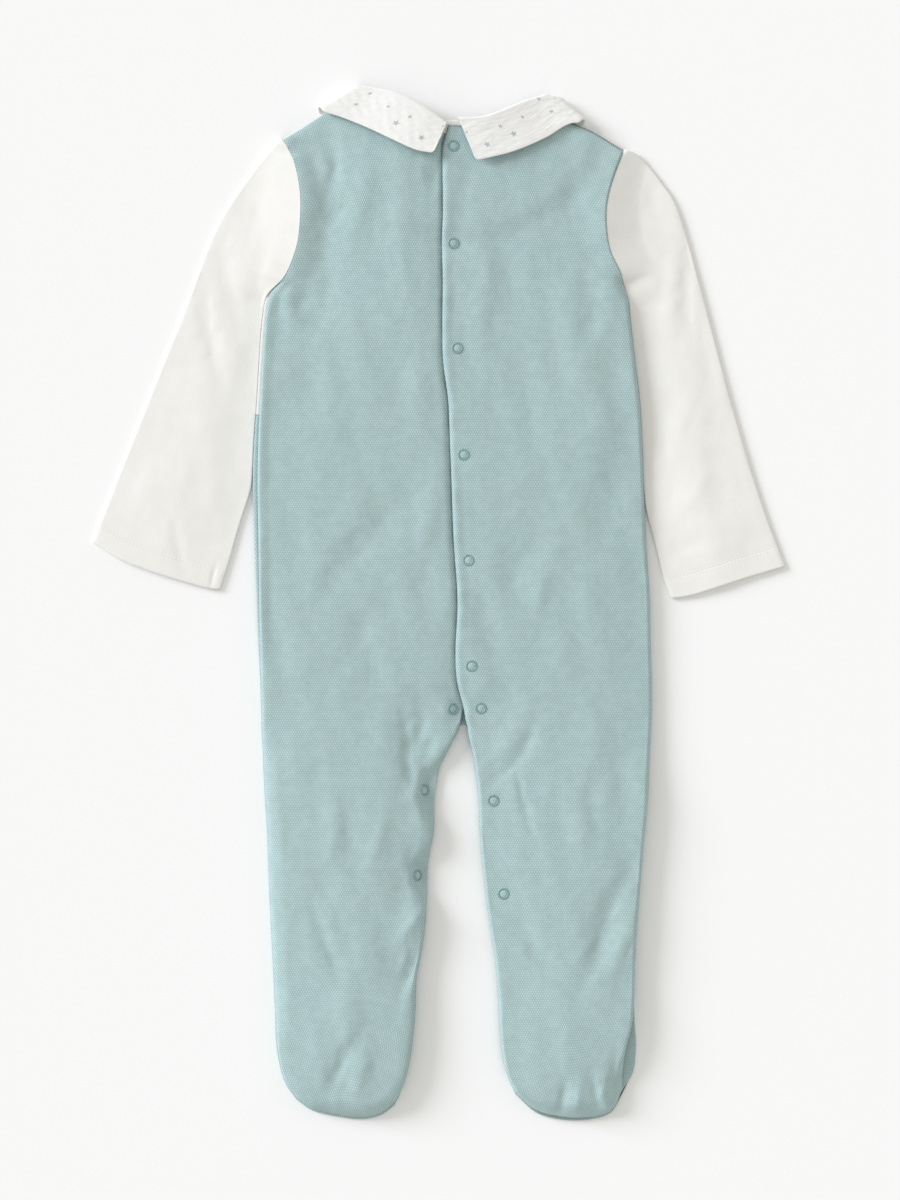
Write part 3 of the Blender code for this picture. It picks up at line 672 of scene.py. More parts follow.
# Folds: depth (below 0 is a trough), width, and the path
bodyFolds = [
    (-0.9, 3.5, [(-3, 285.5), (-14, 287.5), (-27, 292), (-52, 303)]),
    (-0.7, 4.0, [(24, 280), (46, 286), (68, 296)]),
    (-1.0, 7.5, [(-72, 272), (-72, 250), (-71, 218), (-74, 186), (-82, 164)]),
    (1.2, 6.5, [(-93, 214), (-95, 190), (-96, 168)]),
    (1.2, 4.0, [(-79, 288), (-73, 279), (-73, 266)]),
    (-1.0, 3.2, [(-70, 294), (-65.5, 283), (-67, 268)]),
    (-1.3, 3.0, [(-98, 291), (-91, 284)]),
    (-0.8, 4, [(-69.5, 242.5), (-58, 253.5)]),
    (0.9, 7, [(-46.5, 279), (-49, 256.5), (-53, 228)]),
    (0.8, 7, [(-23.5, 263), (-24.5, 237.5), (-19.5, 205.5), (-12, 167)]),
    (-1.4, 6, [(-1, 279), (-3.5, 262)]),
    (-0.9, 14, [(-77, 164), (-81, 135), (-87.5, 109.5)]),
    (0.5, 10, [(-12, 160.5), (-15, 128.5), (-18, 96.5)]),
    (-1, 9, [(-23.5, 62.5), (-44, 42), (-66, 14.5), (-81, -13.5)]),
    (0.8, 6, [(-3, 84), (-5.5, 52), (-15, 20)]),
    (-0.7, 8, [(-30, 3), (-53.5, -25), (-67.5, -57)]),
    (0.6, 9, [(-55.5, 64.5), (-69.5, 39), (-82, 26)]),
    (-2.6, 8.0, [(-10, -64), (-11, -90), (-9, -114), (-1, -131)]),
    (-1.3, 3.6, [(-24, -62), (-21, -84), (-19.5, -106), (-13.5, -126)]),
    (0.7, 3.8, [(-4, -74), (-11, -95), (-13.5, -113)]),
    (1, 6, [(-67, -126), (-65, -146.5), (-69.5, -167)]),
    (0.9, 5, [(-33.5, -132.5), (-37.5, -153), (-45, -169.5)]),
    (-1.9, 8, [(-9.5, -151.5), (-17, -172), (-24.5, -192.5)]),
    (1.2, 4, [(-5.5, -193.5), (-17, -205.5), (-24.5, -218)]),
    (-1.7, 5.5, [(-13, -217), (-17, -234), (-22.5, -250)]),
    (1.1, 4.5, [(-8.5, -223.5), (-14, -240.5), (-21.5, -260.5)]),
    (-1.2, 4.2, [(-80.5, -190), (-72.5, -217), (-62.5, -242.5)]),
    (-1, 12, [(-67, -167), (-74.5, -194.5)]),
    (0.9, 11, [(-55.5, -246), (-60, -274.5)]),
    (-1.5, 5, [(-51.5, -276.5), (-61, -294), (-72, -314)]),
    (1, 5, [(-44.5, -286), (-49.5, -303.5), (-54.5, -319.5)]),
    (0.7, 7, [(34, 231), (30.5, 199), (25.5, 164)]),
    (-1, 7, [(15.5, 287.5), (17, 256.5), (14.5, 230)]),
    (-0.8, 8, [(86.5, 274.5), (82, 253.5), (78, 231)]),
    (-1.0, 6.5, [(81.5, 217), (95.5, 202), (98, 180), (89.5, 163)]),
    (-0.7, 8, [(65, 37), (52, 23), (42, -0.5)]),
    (0.9, 6, [(70.5, 27.5), (65.5, 7), (62, -13.5)]),
    (-1, 10, [(113.5, 104.5), (111.5, 77.5), (108.5, 57)]),
    (0.6, 9, [(52, 84), (49, 64.5)]),
    (-1.2, 4.2, [(63.5, -71), (56, -92), (45, -107.5), (31.5, -117)]),
    (0.5, 4, [(53.5, -71.5), (43, -91.5), (29, -104.5)]),
    (-0.9, 2.6, [(50, -107), (54, -127.5), (60, -148)]),
    (-1.7, 6.5, [(122, -171), (111, -194.5), (102, -220), (93, -247.5)]),
    (1, 5.5, [(125, -199), (115.5, -223.5), (107, -249)]),
    (-1, 6, [(41.5, -196.5), (59, -218), (79, -244)]),
    (0.7, 8, [(87.5, -146.5), (90.5, -172)]),
    (-0.8, 6, [(103.5, -102), (98, -127.5), (101, -150)]),
    (1.3, 3.6, [(89.5, -309), (88, -329.5)]),
    (-1.4, 3.4, [(81.5, -306.5), (77, -329.5)]),
    (-1.4, 3.6, [(98, -301.5), (102.5, -327)]),
    (-1, 3.6, [(114, -281), (111, -306.5), (113.5, -319.5)]),
]
# Turns of the knit's rows: degrees, how far the turn reaches, and its middle
knitTurns = [
    (-16.0, 42.0, (-70.0, 285.0)),
    (14.0, 42.0, (90.0, 285.0)),
    (22.0, 40.0, (-30.0, -285.0)),
    (-15.0, 26.0, (-75.0, -300.0)),
    (-20.0, 26.0, (100.0, -310.0)),
    (16.0, 26.0, (66.0, -312.0)),
]


def spread(t):
    # Columns crowd towards both edges, where the cloth bends most
    return 0.5 * t + 0.5 * (0.5 - 0.5 * np.cos(np.pi * t))


def rails(panel):
    # The panel's fine outer and inner edges, and how far along the rows each of their points is
    if "fine" not in panel:
        rows = np.array(panel["rows"])
        place = np.linspace(0, len(rows) - 1, 1200)
        middle = lengths(onCurve((rows[:, 0:2] + rows[:, 2:4]) / 2, place))
        panel["fine"] = (place, middle / middle[-1], onCurve(rows[:, 0:2], place), onCurve(rows[:, 2:4], place),
                         onCurve(rows[:, 4:5], place)[:, 0])
    return panel["fine"]


def edgeX(panel, y, inner=True):
    _, _, outer, inside, _ = rails(panel)
    line = inside if inner else outer
    return np.interp(-y, -line[:, 1], line[:, 0])


def edgePeek(panel, y):
    _, _, outer, _, peek = rails(panel)
    return np.interp(-y, -outer[:, 1], peek)


def panelPlan(panel, t, s):
    # t runs from the outer edge to the inner one, s from the shoulder to the toe
    place, share, outer, inner, _ = rails(panel)
    at = np.interp(s, share, place)
    a = np.stack([np.interp(at, place, outer[:, k]) for k in range(2)], axis=1)
    b = np.stack([np.interp(at, place, inner[:, k]) for k in range(2)], axis=1)
    u = spread(t)
    p = between(a, b, u[:, None])
    corner = body["shoulderColumns"] / body["columns"]
    shoulder = along(smoothLine(panel["shoulder"]), np.clip(t / corner, 0, 1))
    neck = along(smoothLine(panel["neck"]), np.clip((t - corner) / (1 - corner), 0, 1))
    head = np.where(t[:, None] < corner, shoulder, neck)
    p += (head - between(outer[0], inner[0], u[:, None])) * (1.0 - ease(0, body["headRows"], at))[:, None]
    toe = along(smoothLine(panel["toe"]), t)
    fade = 1.0 - ease(0, body["toeRows"], len(panel["rows"]) - 1 - at)
    p += (toe - between(outer[-1], inner[-1], u[:, None])) * fade[:, None]
    return p


def sewnEdges():
    # The side seams with the legs and toes in one line, the armholes and the shoulder seams
    crotch = layers["crotch"]
    _, _, outer, inner, _ = rails(leftPanel)
    sides = [outer[outer[:, 1] < leftPanel["underarm"]][::4], smoothLine(leftPanel["toe"], 60),
             inner[inner[:, 1] < crotch[1]][::-4], np.array([crotch])]
    armholes = [outer[outer[:, 1] >= leftPanel["underarm"]]]
    _, _, outer, inner, _ = rails(rightPanel)
    sides += [inner[inner[:, 1] < crotch[1]][::4], smoothLine(rightPanel["toe"], 60)[::-1],
              outer[outer[:, 1] < rightPanel["underarm"]][::-4]]
    armholes.append(outer[outer[:, 1] >= rightPanel["underarm"]])
    return np.vstack(sides), armholes, [smoothLine(panel["shoulder"], 60) for panel in (leftPanel, rightPanel)]


sideLine, armholeLines, shoulderLines = sewnEdges()
fromSides = lineFinder(sideLine)
fromArmholes = [lineFinder(line) for line in armholeLines]
fromShoulders = [lineFinder(line) for line in shoulderLines]


def wayOut(line):
    # Finds the way out of the body at the nearest place of its side line
    fine = along(line, np.linspace(0, 1, 5000))
    ahead = np.gradient(fine, axis=0)
    away = unit(np.column_stack([ahead[:, 1], -ahead[:, 0]]))
    find = nearestFinder(fine)
    return lambda p: away[find(p)]


outOfSides = wayOut(sideLine)


def nearest(finders, p):
    return np.min([finder(p) for finder in finders], axis=0)


def frontLevel(p):
    # The front's underside: on the surface, but over the collar's ends and at the left side
    far = np.linalg.norm(p - np.array(layers["neckCentre"]), axis=1)
    beside = p[:, 0] - edgeX(leftPanel, p[:, 1], inner=False)
    reach, lower, upper = layers["sideRaiseZone"]
    side = ease(reach, 0.0, beside) * ease(*lower, p[:, 1]) * ease(*upper, p[:, 1])
    return layers["frontRaise"] * ease(*layers["frontRaiseRadii"], far) + layers["sideRaise"] * side


def sideShape(p):
    # How high the room gets beside the side seams, how steeply it starts and how much softer its edge is
    steep = layers["puffShare"] + layers["steeperRight"] * ease(40.0, 80.0, p[:, 0])
    innerLeg = ease(12.0, 18.0, p[:, 0]) * ease(-66.0, -78.0, p[:, 1])
    steep = np.maximum(steep, layers["steepInnerLeg"] * innerLeg)
    height = layers["puff"] + layers["legPuff"] * ease(*layers["legsFrom"], p[:, 1])
    height += layers["footPuff"] * ease(*layers["feetFrom"], p[:, 1])
    middle = np.where(p[:, 0] < 14.0, *layers["legMiddles"])
    across = np.clip((p[:, 0] - middle) / layers["legHalf"], -1.0, 1.0)
    height += layers["legLean"] * (0.4 + across) * ease(*layers["leanFrom"], p[:, 1])
    inner, lower, upper = layers["besideArmZone"]
    height += layers["besideArm"] * ease(*inner, p[:, 0]) * ease(*lower, p[:, 1]) * ease(*upper, p[:, 1])
    softer = sum(much * bell(np.hypot(p[:, 0] - x, p[:, 1] - y), size)
                 for x, y, size, much in layers["slackZones"])
    return height, steep, softer


def sideRise(gap, steep, softer):
    # Between a quarter of a circle and, where the edge is soft, a plain slope
    short, long = layers["puffReach"]
    bulge = between(quarterRound(gap, long + softer), quarterRound(gap, short + softer), steep)
    near = np.minimum(gap / (long + softer), 1.0)
    return between(bulge, near * (1.5 - 0.5 * near**2), np.clip(softer / layers["fullySoft"], 0.0, 1.0))


def puff(p):
    gap = fromSides(p)
    height, steep, softer = sideShape(p)
    room = height * sideRise(gap, steep, softer) + layers["swell"] * ease(0.0, layers["swellReach"], gap)
    room *= 1.0 - layers["armLow"] * bell(fromArmholes[0](p), layers["armLowReach"])
    fromSeams = nearest(fromShoulders, p)
    step, far = layers["shoulderStep"]
    return room * between(ease(*layers["shoulderFade"], fromSeams), quarterRound(fromSeams, far), step)


def armRidge(p):
    # The armhole seams stand a little proud
    left, right = [high * ease(far, 0.0, finder(p))
                   for (high, far), finder in zip(layers["armRidges"], fromArmholes)]
    return np.maximum(left, right) * ease(0.0, layers["ridgeFade"], fromSides(p))


def snapSeats(p):
    # The cloth is drawn down a little round each snap, and leans over at the left leg's
    total = np.zeros(len(p))
    dip, reach = body["snapDip"]
    for spot in placketSnaps + legSnaps:
        total -= dip * bell(np.linalg.norm(p - np.array(spot), axis=1), reach)
    for spot, slope in zip(legSnaps, body["snapLeans"]):
        arm = p - np.array(spot)
        total -= slope * arm[:, 0] * bell(np.linalg.norm(arm, axis=1), body["leanReach"])
    return total


def creases(p, edge=3.0):
    # Folds and unevenness of the body, fading out at its sewn edges
    inward = np.minimum(fromSides(p), nearest(fromShoulders, p))
    uneven = body["streaks"] * streaks(p)
    uneven += sum(high * ripple(p, size, seed) for high, size, seed in body["ripples"])
    return (foldField(p, bodyFolds) + uneven + snapSeats(p)) * ease(0.0, edge, inward)


def restingLevel(p):
    # Of a back that lies right on the front
    return frontLevel(p) + layers["bodyWall"] + layers["seamGap"]


def keptAbove(level, floor):
    return softMax(level, floor, 0.25) - 0.03


def backLevel(p):
    floor = restingLevel(p)
    return keptAbove(floor + puff(p) + creases(p) + armRidge(p), floor)


def leftLevel(p):
    # Sinks towards the placket's edge and stays low under it
    short = edgeX(rightPanel, p[:, 1]) - p[:, 0]
    wide = between(*layers["dipWide"], ease(180.0, 150.0, p[:, 1]) * ease(-28.0, 12.0, p[:, 1]))
    sunk = 0.4 * ease(wide, -1.0, short) + 0.6 * ease(layers["dipEdge"], -1.0, short)
    level = backLevel(p) - layers["dip"] * sunk * ease(*layers["lapEnd"], p[:, 1])
    return keptAbove(level, restingLevel(p))


def lapLift(p):
    # The right panel rises over the left one's hidden edge
    x, y = p[:, 0], p[:, 1]
    edge = edgeX(rightPanel, y)
    under = np.maximum(edgeX(leftPanel, y) - edge, 0.0) + 1.0
    return layers["lapRise"] * ease(under + layers["lapFade"], under, x - edge) * ease(*layers["lapEnd"], y)


def placketEdge(p):
    # The placket gapes a little between its snaps, and its very edge curls down
    x, y = p[:, 0], p[:, 1]
    inside = np.maximum(x - edgeX(rightPanel, y), 0.0)
    held = np.min([np.abs(y - spot[1]) for spot in placketSnaps], axis=0)
    gape, gapeReach = body["gape"]
    lift = gape * ease(4.0, 26.0, held) * bell(inside, gapeReach)
    curl, curlReach = body["edgeCurl"]
    lift -= curl * np.clip(1.0 - inside / curlReach, 0.0, 1.0) ** 2
    deep, far, wide = body["groove"]
    lift -= deep * bell(inside - far, wide) * (0.6 + 0.4 * np.sin(y * 0.045))
    wave, waveReach = body["edgeWave"]
    lift += wave * np.sin(y * 0.33 + 1.2 * np.sin(y * 0.07)) * bell(inside, waveReach)
    return lift * ease(*layers["lapEnd"], y)


def rightLevel(p):
    return backLevel(p) + lapLift(p) + placketEdge(p)


def flatUv(spots):
    return spots[:, :2]


def knitUv(spots):
    # The knit's rows lie level, and turn with the cloth at shoulders and feet
    p = spots[:, :2].copy()
    for angle, reach, middle in knitTurns:
        arm = p - np.array(middle)
        turn = math.radians(angle) * bell(np.linalg.norm(arm, axis=1), reach)
        p = np.array(middle) + np.stack([arm[:, 0] * np.cos(turn) - arm[:, 1] * np.sin(turn),
                                         arm[:, 0] * np.sin(turn) + arm[:, 1] * np.cos(turn)], axis=1)
    return p


def backUv(spots):
    # Where the cloth curves down to the side seams its rows and stitches keep their size
    p = spots[:, :2] - np.array(layers["shift"][:2])
    height, steep, softer = sideShape(p)
    level = body["levelFrom"]
    gap = first = np.minimum(fromSides(p), level)
    extra = np.zeros(len(p))
    for share in np.linspace(0.0, 1.0, 31)[1:]:
        further = between(first, level, share**2)
        rise = height * (sideRise(further, steep, softer) - sideRise(gap, steep, softer))
        extra += np.hypot(rise, further - gap) - (further - gap)
        gap = further
    return knitUv(p + outOfSides(p) * extra[:, None])


def makeBack(name, node, panel, level):
    work = paramGrid(body["columns"], body["rows"])
    rims = rimEdges(work)
    t, s, skin = params(work)
    p = panelPlan(panel, t, 1.0 - s)
    putVerts(work, np.column_stack([p, level(p) + layers["bodyWall"] * skin]))
    roundRims(work, rims, body["rimRound"])
    piece = finishPiece(name, work, knitCloth, node, backUv)
    print(name, "made")
    return piece


backLeft = makeBack("backLeft", "back_left", leftPanel, leftLevel)
backRight = makeBack("backRight", "back_right", rightPanel, rightLevel)

# The front lies below: a knit lower front with both legs, and a jersey bodice

front = {
    "columns": 44,
    "waistRows": 100,
    "legRows": 130,
    "legSetback": 0.8,
    "toePeek": 1.6,
    "bodiceRows": 120,
    "bodiceColumns": 112,
    "shoulderColumns": 20,  # of them, those on each shoulder
    "neckRadius": 68.2,
    "neckCorners": [(-57.5, 322.0), (74.7, 313.8)],
    "rimRound": 0.3,
    "waves": (0.1, 30, 21),  # height, size and seed
}
front["waist"] = front["waistRows"] / (front["waistRows"] + front["legRows"])
frontFolds = [
    (0.9, 8.0, [(-60, 90), (-40, 40), (-45, -10)]),
    (0.8, 7.0, [(60, 70), (75, 20), (70, -30)]),
    (0.9, 6.0, [(20, 30), (24, -20), (10, -60)]),
    (0.8, 8.0, [(-85, -120), (-60, -160)]),
    (0.9, 7.0, [(-40, -190), (-70, -240)]),
    (0.8, 7.0, [(100, -120), (70, -160)]),
    (0.9, 7.0, [(60, -200), (100, -250)]),
    (0.8, 5.0, [(-60, -280), (-50, -310)]),
    (0.8, 5.0, [(80, -280), (92, -312)]),
    (0.7, 8.0, [(-70, 240), (-50, 190), (-60, 150)]),
    (0.7, 8.0, [(80, 230), (60, 190), (70, 140)]),
    (0.6, 6.0, [(0, 215), (12, 170), (5, 130)]),
]


def frontUnder(p):
    # The front rests on the surface, but for a few shallow folds
    inward = np.minimum(fromSides(p), nearest(fromArmholes, p))
    high, size, seed = front["waves"]
    folds = foldField(p, frontFolds, 40) + high * (1.0 + ripple(p, size, seed))
    return frontLevel(p) + np.maximum(folds, 0.0) * ease(5.0, 16.0, inward)


def frontHalf(panel, t, s):
    # One side of the lower front: its rows run level from the waist seam to the toe
    crotch, waist = layers["crotch"], front["waist"]
    _, _, outer, _, _ = rails(panel)
    y = np.where(s < waist, between(layers["waistSeam"], crotch[1], s / waist),
                 between(crotch[1], outer[-1, 1], (s - waist) / (1.0 - waist)))
    side = panel["side"]
    a = edgeX(panel, y, inner=False) + side * edgePeek(panel, y)
    leg = edgeX(panel, y) + side * front["legSetback"]
    b = np.where(s <= waist + 1e-6, crotch[0], leg)
    u = spread(t)
    p = np.column_stack([between(a, b, u), y])
    toe = along(smoothLine(panel["toe"]), t) - np.array([0.0, front["toePeek"]])
    ends = [np.array([edgeX(panel, outer[-1:, 1], inner=k)[0] + side * v, outer[-1, 1]])
            for k, v in ((False, edgePeek(panel, outer[-1:, 1])[0]), (True, front["legSetback"]))]
    fade = 1.0 - ease(0.0, 0.16, (1.0 - s) / (1.0 - waist))
    return p + (toe - between(ends[0], ends[1], u[:, None])) * fade[:, None]


def makeFrontLower():
    work = bmesh.new()
    for panel in (leftPanel, rightPanel):
        half = paramGrid(front["columns"], front["waistRows"] + front["legRows"])
        t, s, skin = params(half)
        s = 1.0 - s
        p = frontHalf(panel, t, s)
        # Above the crotch the halves are one cloth, so their joining walls go
        inner = [f for f in half.faces if isWall(f) and f.calc_center_median().x > 0.9999
                 and 1.0 - f.calc_center_median().y < front["waist"]]
        putVerts(half, np.column_stack([p, frontUnder(p) + layers["bodyWall"] * skin]))
        bmesh.ops.delete(half, geom=inner, context="FACES_ONLY")
        if panel["side"] > 0:
            bmesh.ops.reverse_faces(half, faces=half.faces)
        scratch = bpy.data.meshes.new("half")
        half.to_mesh(scratch)
        half.free()
        work.from_mesh(scratch)
        bpy.data.meshes.remove(scratch)
    bmesh.ops.remove_doubles(work, verts=work.verts, dist=0.01)
    piece = finishPiece("frontLower", work, knitCloth, "front_lower", knitUv)
    print("frontLower made")
    return piece


def makeBodice():
    work = paramGrid(front["bodiceColumns"], front["bodiceRows"])
    rims = rimEdges(work)
    t, s, skin = params(work)
    s = 1.0 - s
    hem = layers["waistSeam"] + layers["seamGap"]
    sides = []
    for panel in (leftPanel, rightPanel):
        _, _, outer, _, peek = rails(panel)
        line = outer[outer[:, 1] > hem].copy()
        line[:, 0] += panel["side"] * peek[: len(line)]
        sides.append(np.vstack([line, [[line[-1, 0], hem]]]))
    a, b = along(sides[0], s), along(sides[1], s)
    u = spread(t)
    p = between(a, b, u[:, None])
    leftCorner, rightCorner = [np.array(c) for c in front["neckCorners"]]
    centre = np.array(layers["neckCentre"])
    begin, end = [math.atan2(*(c - centre)[::-1]) for c in (leftCorner, rightCorner)]
    corner = front["shoulderColumns"] / front["bodiceColumns"]
    turn = between(begin, end, np.clip((t - corner) / (1 - 2 * corner), 0, 1))
    neck = centre + front["neckRadius"] * np.column_stack([np.cos(turn), np.sin(turn)])
    leftSeam = smoothLine(leftPanel["shoulder"][:-1] + [tuple(leftCorner)])
    rightSeam = smoothLine(rightPanel["shoulder"][:-1] + [tuple(rightCorner)])
    head = np.where((t < corner)[:, None], along(leftSeam, np.clip(t / corner, 0, 1)), neck)
    head = np.where((t > 1 - corner)[:, None], along(rightSeam, np.clip((1 - t) / corner, 0, 1)), head)
    fade = 1.0 - ease(0.0, 0.62, s)
    p += (head - between(sides[0][0], sides[1][0], u[:, None])) * fade[:, None]
    putVerts(work, np.column_stack([p, frontUnder(p) + layers["bodyWall"] * skin]))
    roundRims(work, rims, front["rimRound"])
    piece = finishPiece("frontBodice", work, jerseyCloth, "front_bodice", flatUv)
    print("frontBodice made")
    return piece


frontLower = makeFrontLower()
frontBodice = makeBodice()

# Sleeves: flattened tubes with a round fold along both sides, open at the cuff and along the armhole

leftSleeve = {
    "outer": [(-100.5, 296.5), (-120.0, 273.5), (-142.5, 238.5), (-163.0, 186.0), (-195.0, 106.0),
              (-222.0, 37.6)],
    "inner": [(-120.5, 71.0), (-127.4, 49.0), (-133.9, 26.0), (-140.0, 7.0)],
    "cuff": [(-222.0, 37.6), (-206.5, 27.6), (-188.5, 20.2), (-168.0, 13.6), (-149.0, 8.2), (-140.0, 7.0)],
    "underarm": 196.0,
    "joinReach": 38.0,  # how far from the armhole the sleeve reaches its own level
    "joinFade": (-0.05, 0.02),  # where it comes loose from the body, past the underarm
    "puff": 0.25,
    "swell": 1.6,
    "panel": leftPanel,
    "folds": [
        (-1.4, 5, [(-150.5, 204), (-147.5, 173.5), (-140.5, 141.5)]),
        (-0.8, 5, [(-140.5, 223.5), (-132, 196), (-129, 170)]),
        (-1.5, 6, [(-108, 231), (-115.5, 205.5), (-113, 185)]),
        (0.8, 7, [(-127, 247), (-128.5, 218)]),
        (-0.9, 8, [(-109, 282), (-115.5, 263), (-113, 240.5)]),
        (0.7, 8, [(-132, 173.5), (-130, 135)]),
        (-0.8, 8, [(-159, 116), (-155, 77.5), (-161.5, 52)]),
        (-1, 4, [(-170.5, 55), (-166.5, 32.5), (-163, 18.5)]),
        (-1.2, 1.1, [(-142.5, 24), (-144.3, 17), (-146, 9)]),
        (0.6, 9, [(-184.5, 84), (-194, 52)]),
    ],
}
rightSleeve = {
    "outer": [(119.5, 289.5), (129.0, 285.0), (142.5, 269.0), (154.0, 250.0), (168.0, 202.0), (188.5, 125.0),
              (206.5, 65.5), (222.5, 22.0)],
    "inner": [(132.7, 60.0), (136.0, 46.5), (140.0, 31.5), (145.2, 12.0), (149.5, 1.5)],
    "cuff": [(222.5, 22.0), (197.5, 14.5), (174.5, 7.0), (161.0, 3.0), (149.5, 1.5)],
    "underarm": 195.0,
    "joinReach": 23.0,
    "joinFade": (-0.08, 0.13),
    "puff": 0.7,
    "swell": 2.1,
    "panel": rightPanel,
    "folds": [
        (0.9, 6, [(152, 232.5), (150.5, 199), (146, 170)]),
        (-0.8, 5, [(161, 224.5), (158.5, 192.5), (162, 164)]),
        (-0.5, 5, [(168, 189.5), (172, 160.5), (178.5, 125.5)]),
        (0.8, 8, [(161, 132), (152, 103), (147, 71)]),
        (-0.7, 9, [(175, 109.5), (177.5, 77.5), (181.5, 45.5)]),
        (0.6, 6, [(149.5, 52), (161, 64.5), (170.5, 77.5)]),
        (-0.7, 6, [(147, 26), (161, 36), (175, 39)]),
        (-0.8, 6, [(135.5, 269.5), (138.5, 247)]),
    ],
}
sleeve = {
    "around": 150,
    "along": 190,
    "clearance": 0.08,
    "fold": 0.92,  # radius of the folds along both sides
    "puffReach": 6.0,
    "swellReach": 46.0,
    "innerReach": 42.0,
    "slitFade": 0.035,  # the tube closes over this share of its length, past the armhole
    "insetReach": 6.0,
    "hem": 13.0,
    "hemRise": 0.3,
    "hemDip": (0.18, 1.1),  # its stitching is drawn down by so much over so far
    "foldShare": 0.62,
    "ripples": [(0.16, 38, 31), (0.05, 15, 32)],  # height, size and seed
}


def sleeveRails(part):
    panel = part["panel"]
    _, _, outer, _, peek = rails(panel)
    beside = outer.copy()
    beside[:, 0] += panel["side"] * (peek + sleeve["clearance"])
    free = np.array(part["inner"])
    beside = beside[beside[:, 1] > free[0, 1] + 15.0]
    inner = np.vstack([beside, onCurve(np.vstack([beside[-1:], free]), np.linspace(0.05, len(free), 200))])
    run = lengths(inner)
    slit = np.interp(-part["underarm"], -inner[:, 1], run) / run[-1]
    return smoothLine(part["outer"]), inner, slit


def sleeveSpots(part, c, s, skin):
    # c runs round the tube, from the inner edge below, over the outer fold, to the inner edge above
    outer, inner, slit = sleeveRails(part)
    shares = np.linspace(0.0, 1.0, 300)
    q = np.abs(2 * c - 1)
    u = 0.3 * q + 0.7 * (0.5 - 0.5 * np.cos(np.pi * q))
    a, b = along(outer, s), along(inner, s)
    cuff = along(smoothLine(part["cuff"]), u)
    flat = between(a, b, u[:, None])
    p = flat + (cuff - between(outer[-1], inner[-1], u[:, None])) * (1.0 - ease(0.0, 0.25, 1.0 - s))[:, None]
    width = np.linalg.norm(b - a, axis=1)
    direction = (b - a) / width[:, None]
    wall = layers["sleeveWall"] * skin
    closed = ease(slit - 0.01, slit + sleeve["slitFade"], s)
    fromOuter = np.maximum(u * width, 0.0)
    fromInner = np.maximum((1 - u) * width, 0.0)
    radius = sleeve["fold"]
    full = quarterRound(fromOuter, radius) * between(1.0, quarterRound(fromInner, radius), closed)
    # The inner skin lies one wall further in
    outerInset, innerInset = [np.clip(1.0 - far / sleeve["insetReach"], 0, 1) ** 2
                              for far in (fromOuter, fromInner)]
    p = p + direction * (wall * (outerInset - closed * innerInset))[:, None]
    swell = part["puff"] * quarterRound(fromOuter, sleeve["puffReach"])
    swell += part["swell"] * ease(0.0, sleeve["swellReach"], fromOuter)
    swell *= between(1.0, ease(0.0, sleeve["innerReach"], fromInner), closed)
    swell *= (0.75 + 0.25 * ease(0.04, 0.4, s)) * (1.0 - 0.6 * ease(0.86, 1.0, s))
    fade = ease(0.0, 3.0, np.minimum(fromOuter, fromInner))
    folds = sleeve["foldShare"] * foldField(p, part["folds"], 60)
    folds += sum(high * ripple(p, size, seed) for high, size, seed in sleeve["ripples"])
    fromCuff = (1.0 - s) * lengths(inner)[-1]
    folds += sleeve["hemRise"] * ease(sleeve["hem"] + 0.8, sleeve["hem"] - 0.6, fromCuff)
    dip, dipReach = sleeve["hemDip"]
    folds -= dip * bell(fromCuff - sleeve["hem"], dipReach)
    over = softMax(2 * radius + swell + folds * fade, 2 * radius, 0.2) - 0.1
    # At the armhole the sleeve is as high as the body
    seam = np.interp(s, shares, backLevel(along(inner, shares)) + layers["bodyWall"])
    first, last = part["joinFade"]
    joined = np.clip(1.0 - fromInner / part["joinReach"], 0.0, 1.0) ** 1.4 * ease(slit + last, slit + first, s)
    over += (seam - over) * joined
    return p, between(radius, np.where(c > 0.5, over - wall, wall), full)


def makeSleeve(name, node, part):
    work = paramGrid(sleeve["around"], sleeve["along"])
    _, _, slit = sleeveRails(part)
    joined = [f for f in work.faces if isWall(f)
              and min(f.calc_center_median().x, 1 - f.calc_center_median().x) < 1e-4
              and 1.0 - f.calc_center_median().y > slit + sleeve["slitFade"]]
    bmesh.ops.delete(work, geom=joined, context="FACES_ONLY")
    c, s, skin = params(work)
    p, z = sleeveSpots(part, c, 1.0 - s, skin)
    putVerts(work, np.column_stack([p, z]))
    bmesh.ops.remove_doubles(work, verts=work.verts, dist=0.004)
    axis = part["inner"][-1][0] - part["outer"][0][0], part["inner"][-1][1] - part["outer"][0][1]
    lean = math.atan2(axis[0], -axis[1])

    def tubeUv(spots):
        # The jersey's wales run down the sleeve
        return spots[:, :2] @ np.array([[math.cos(lean), -math.sin(lean)], [math.sin(lean), math.cos(lean)]])

    piece = finishPiece(name, work, jerseyCloth, node, tubeUv)
    print(name, "made")
    return piece


sleeveLeft = makeSleeve("sleeveLeft", "sleeve_left", leftSleeve)
sleeveRight = makeSleeve("sleeveRight", "sleeve_right", rightSleeve)

# Collars: a folded strip that starts at the centre back, turns under at the shoulder and ends at the
# centre front, below the bodice

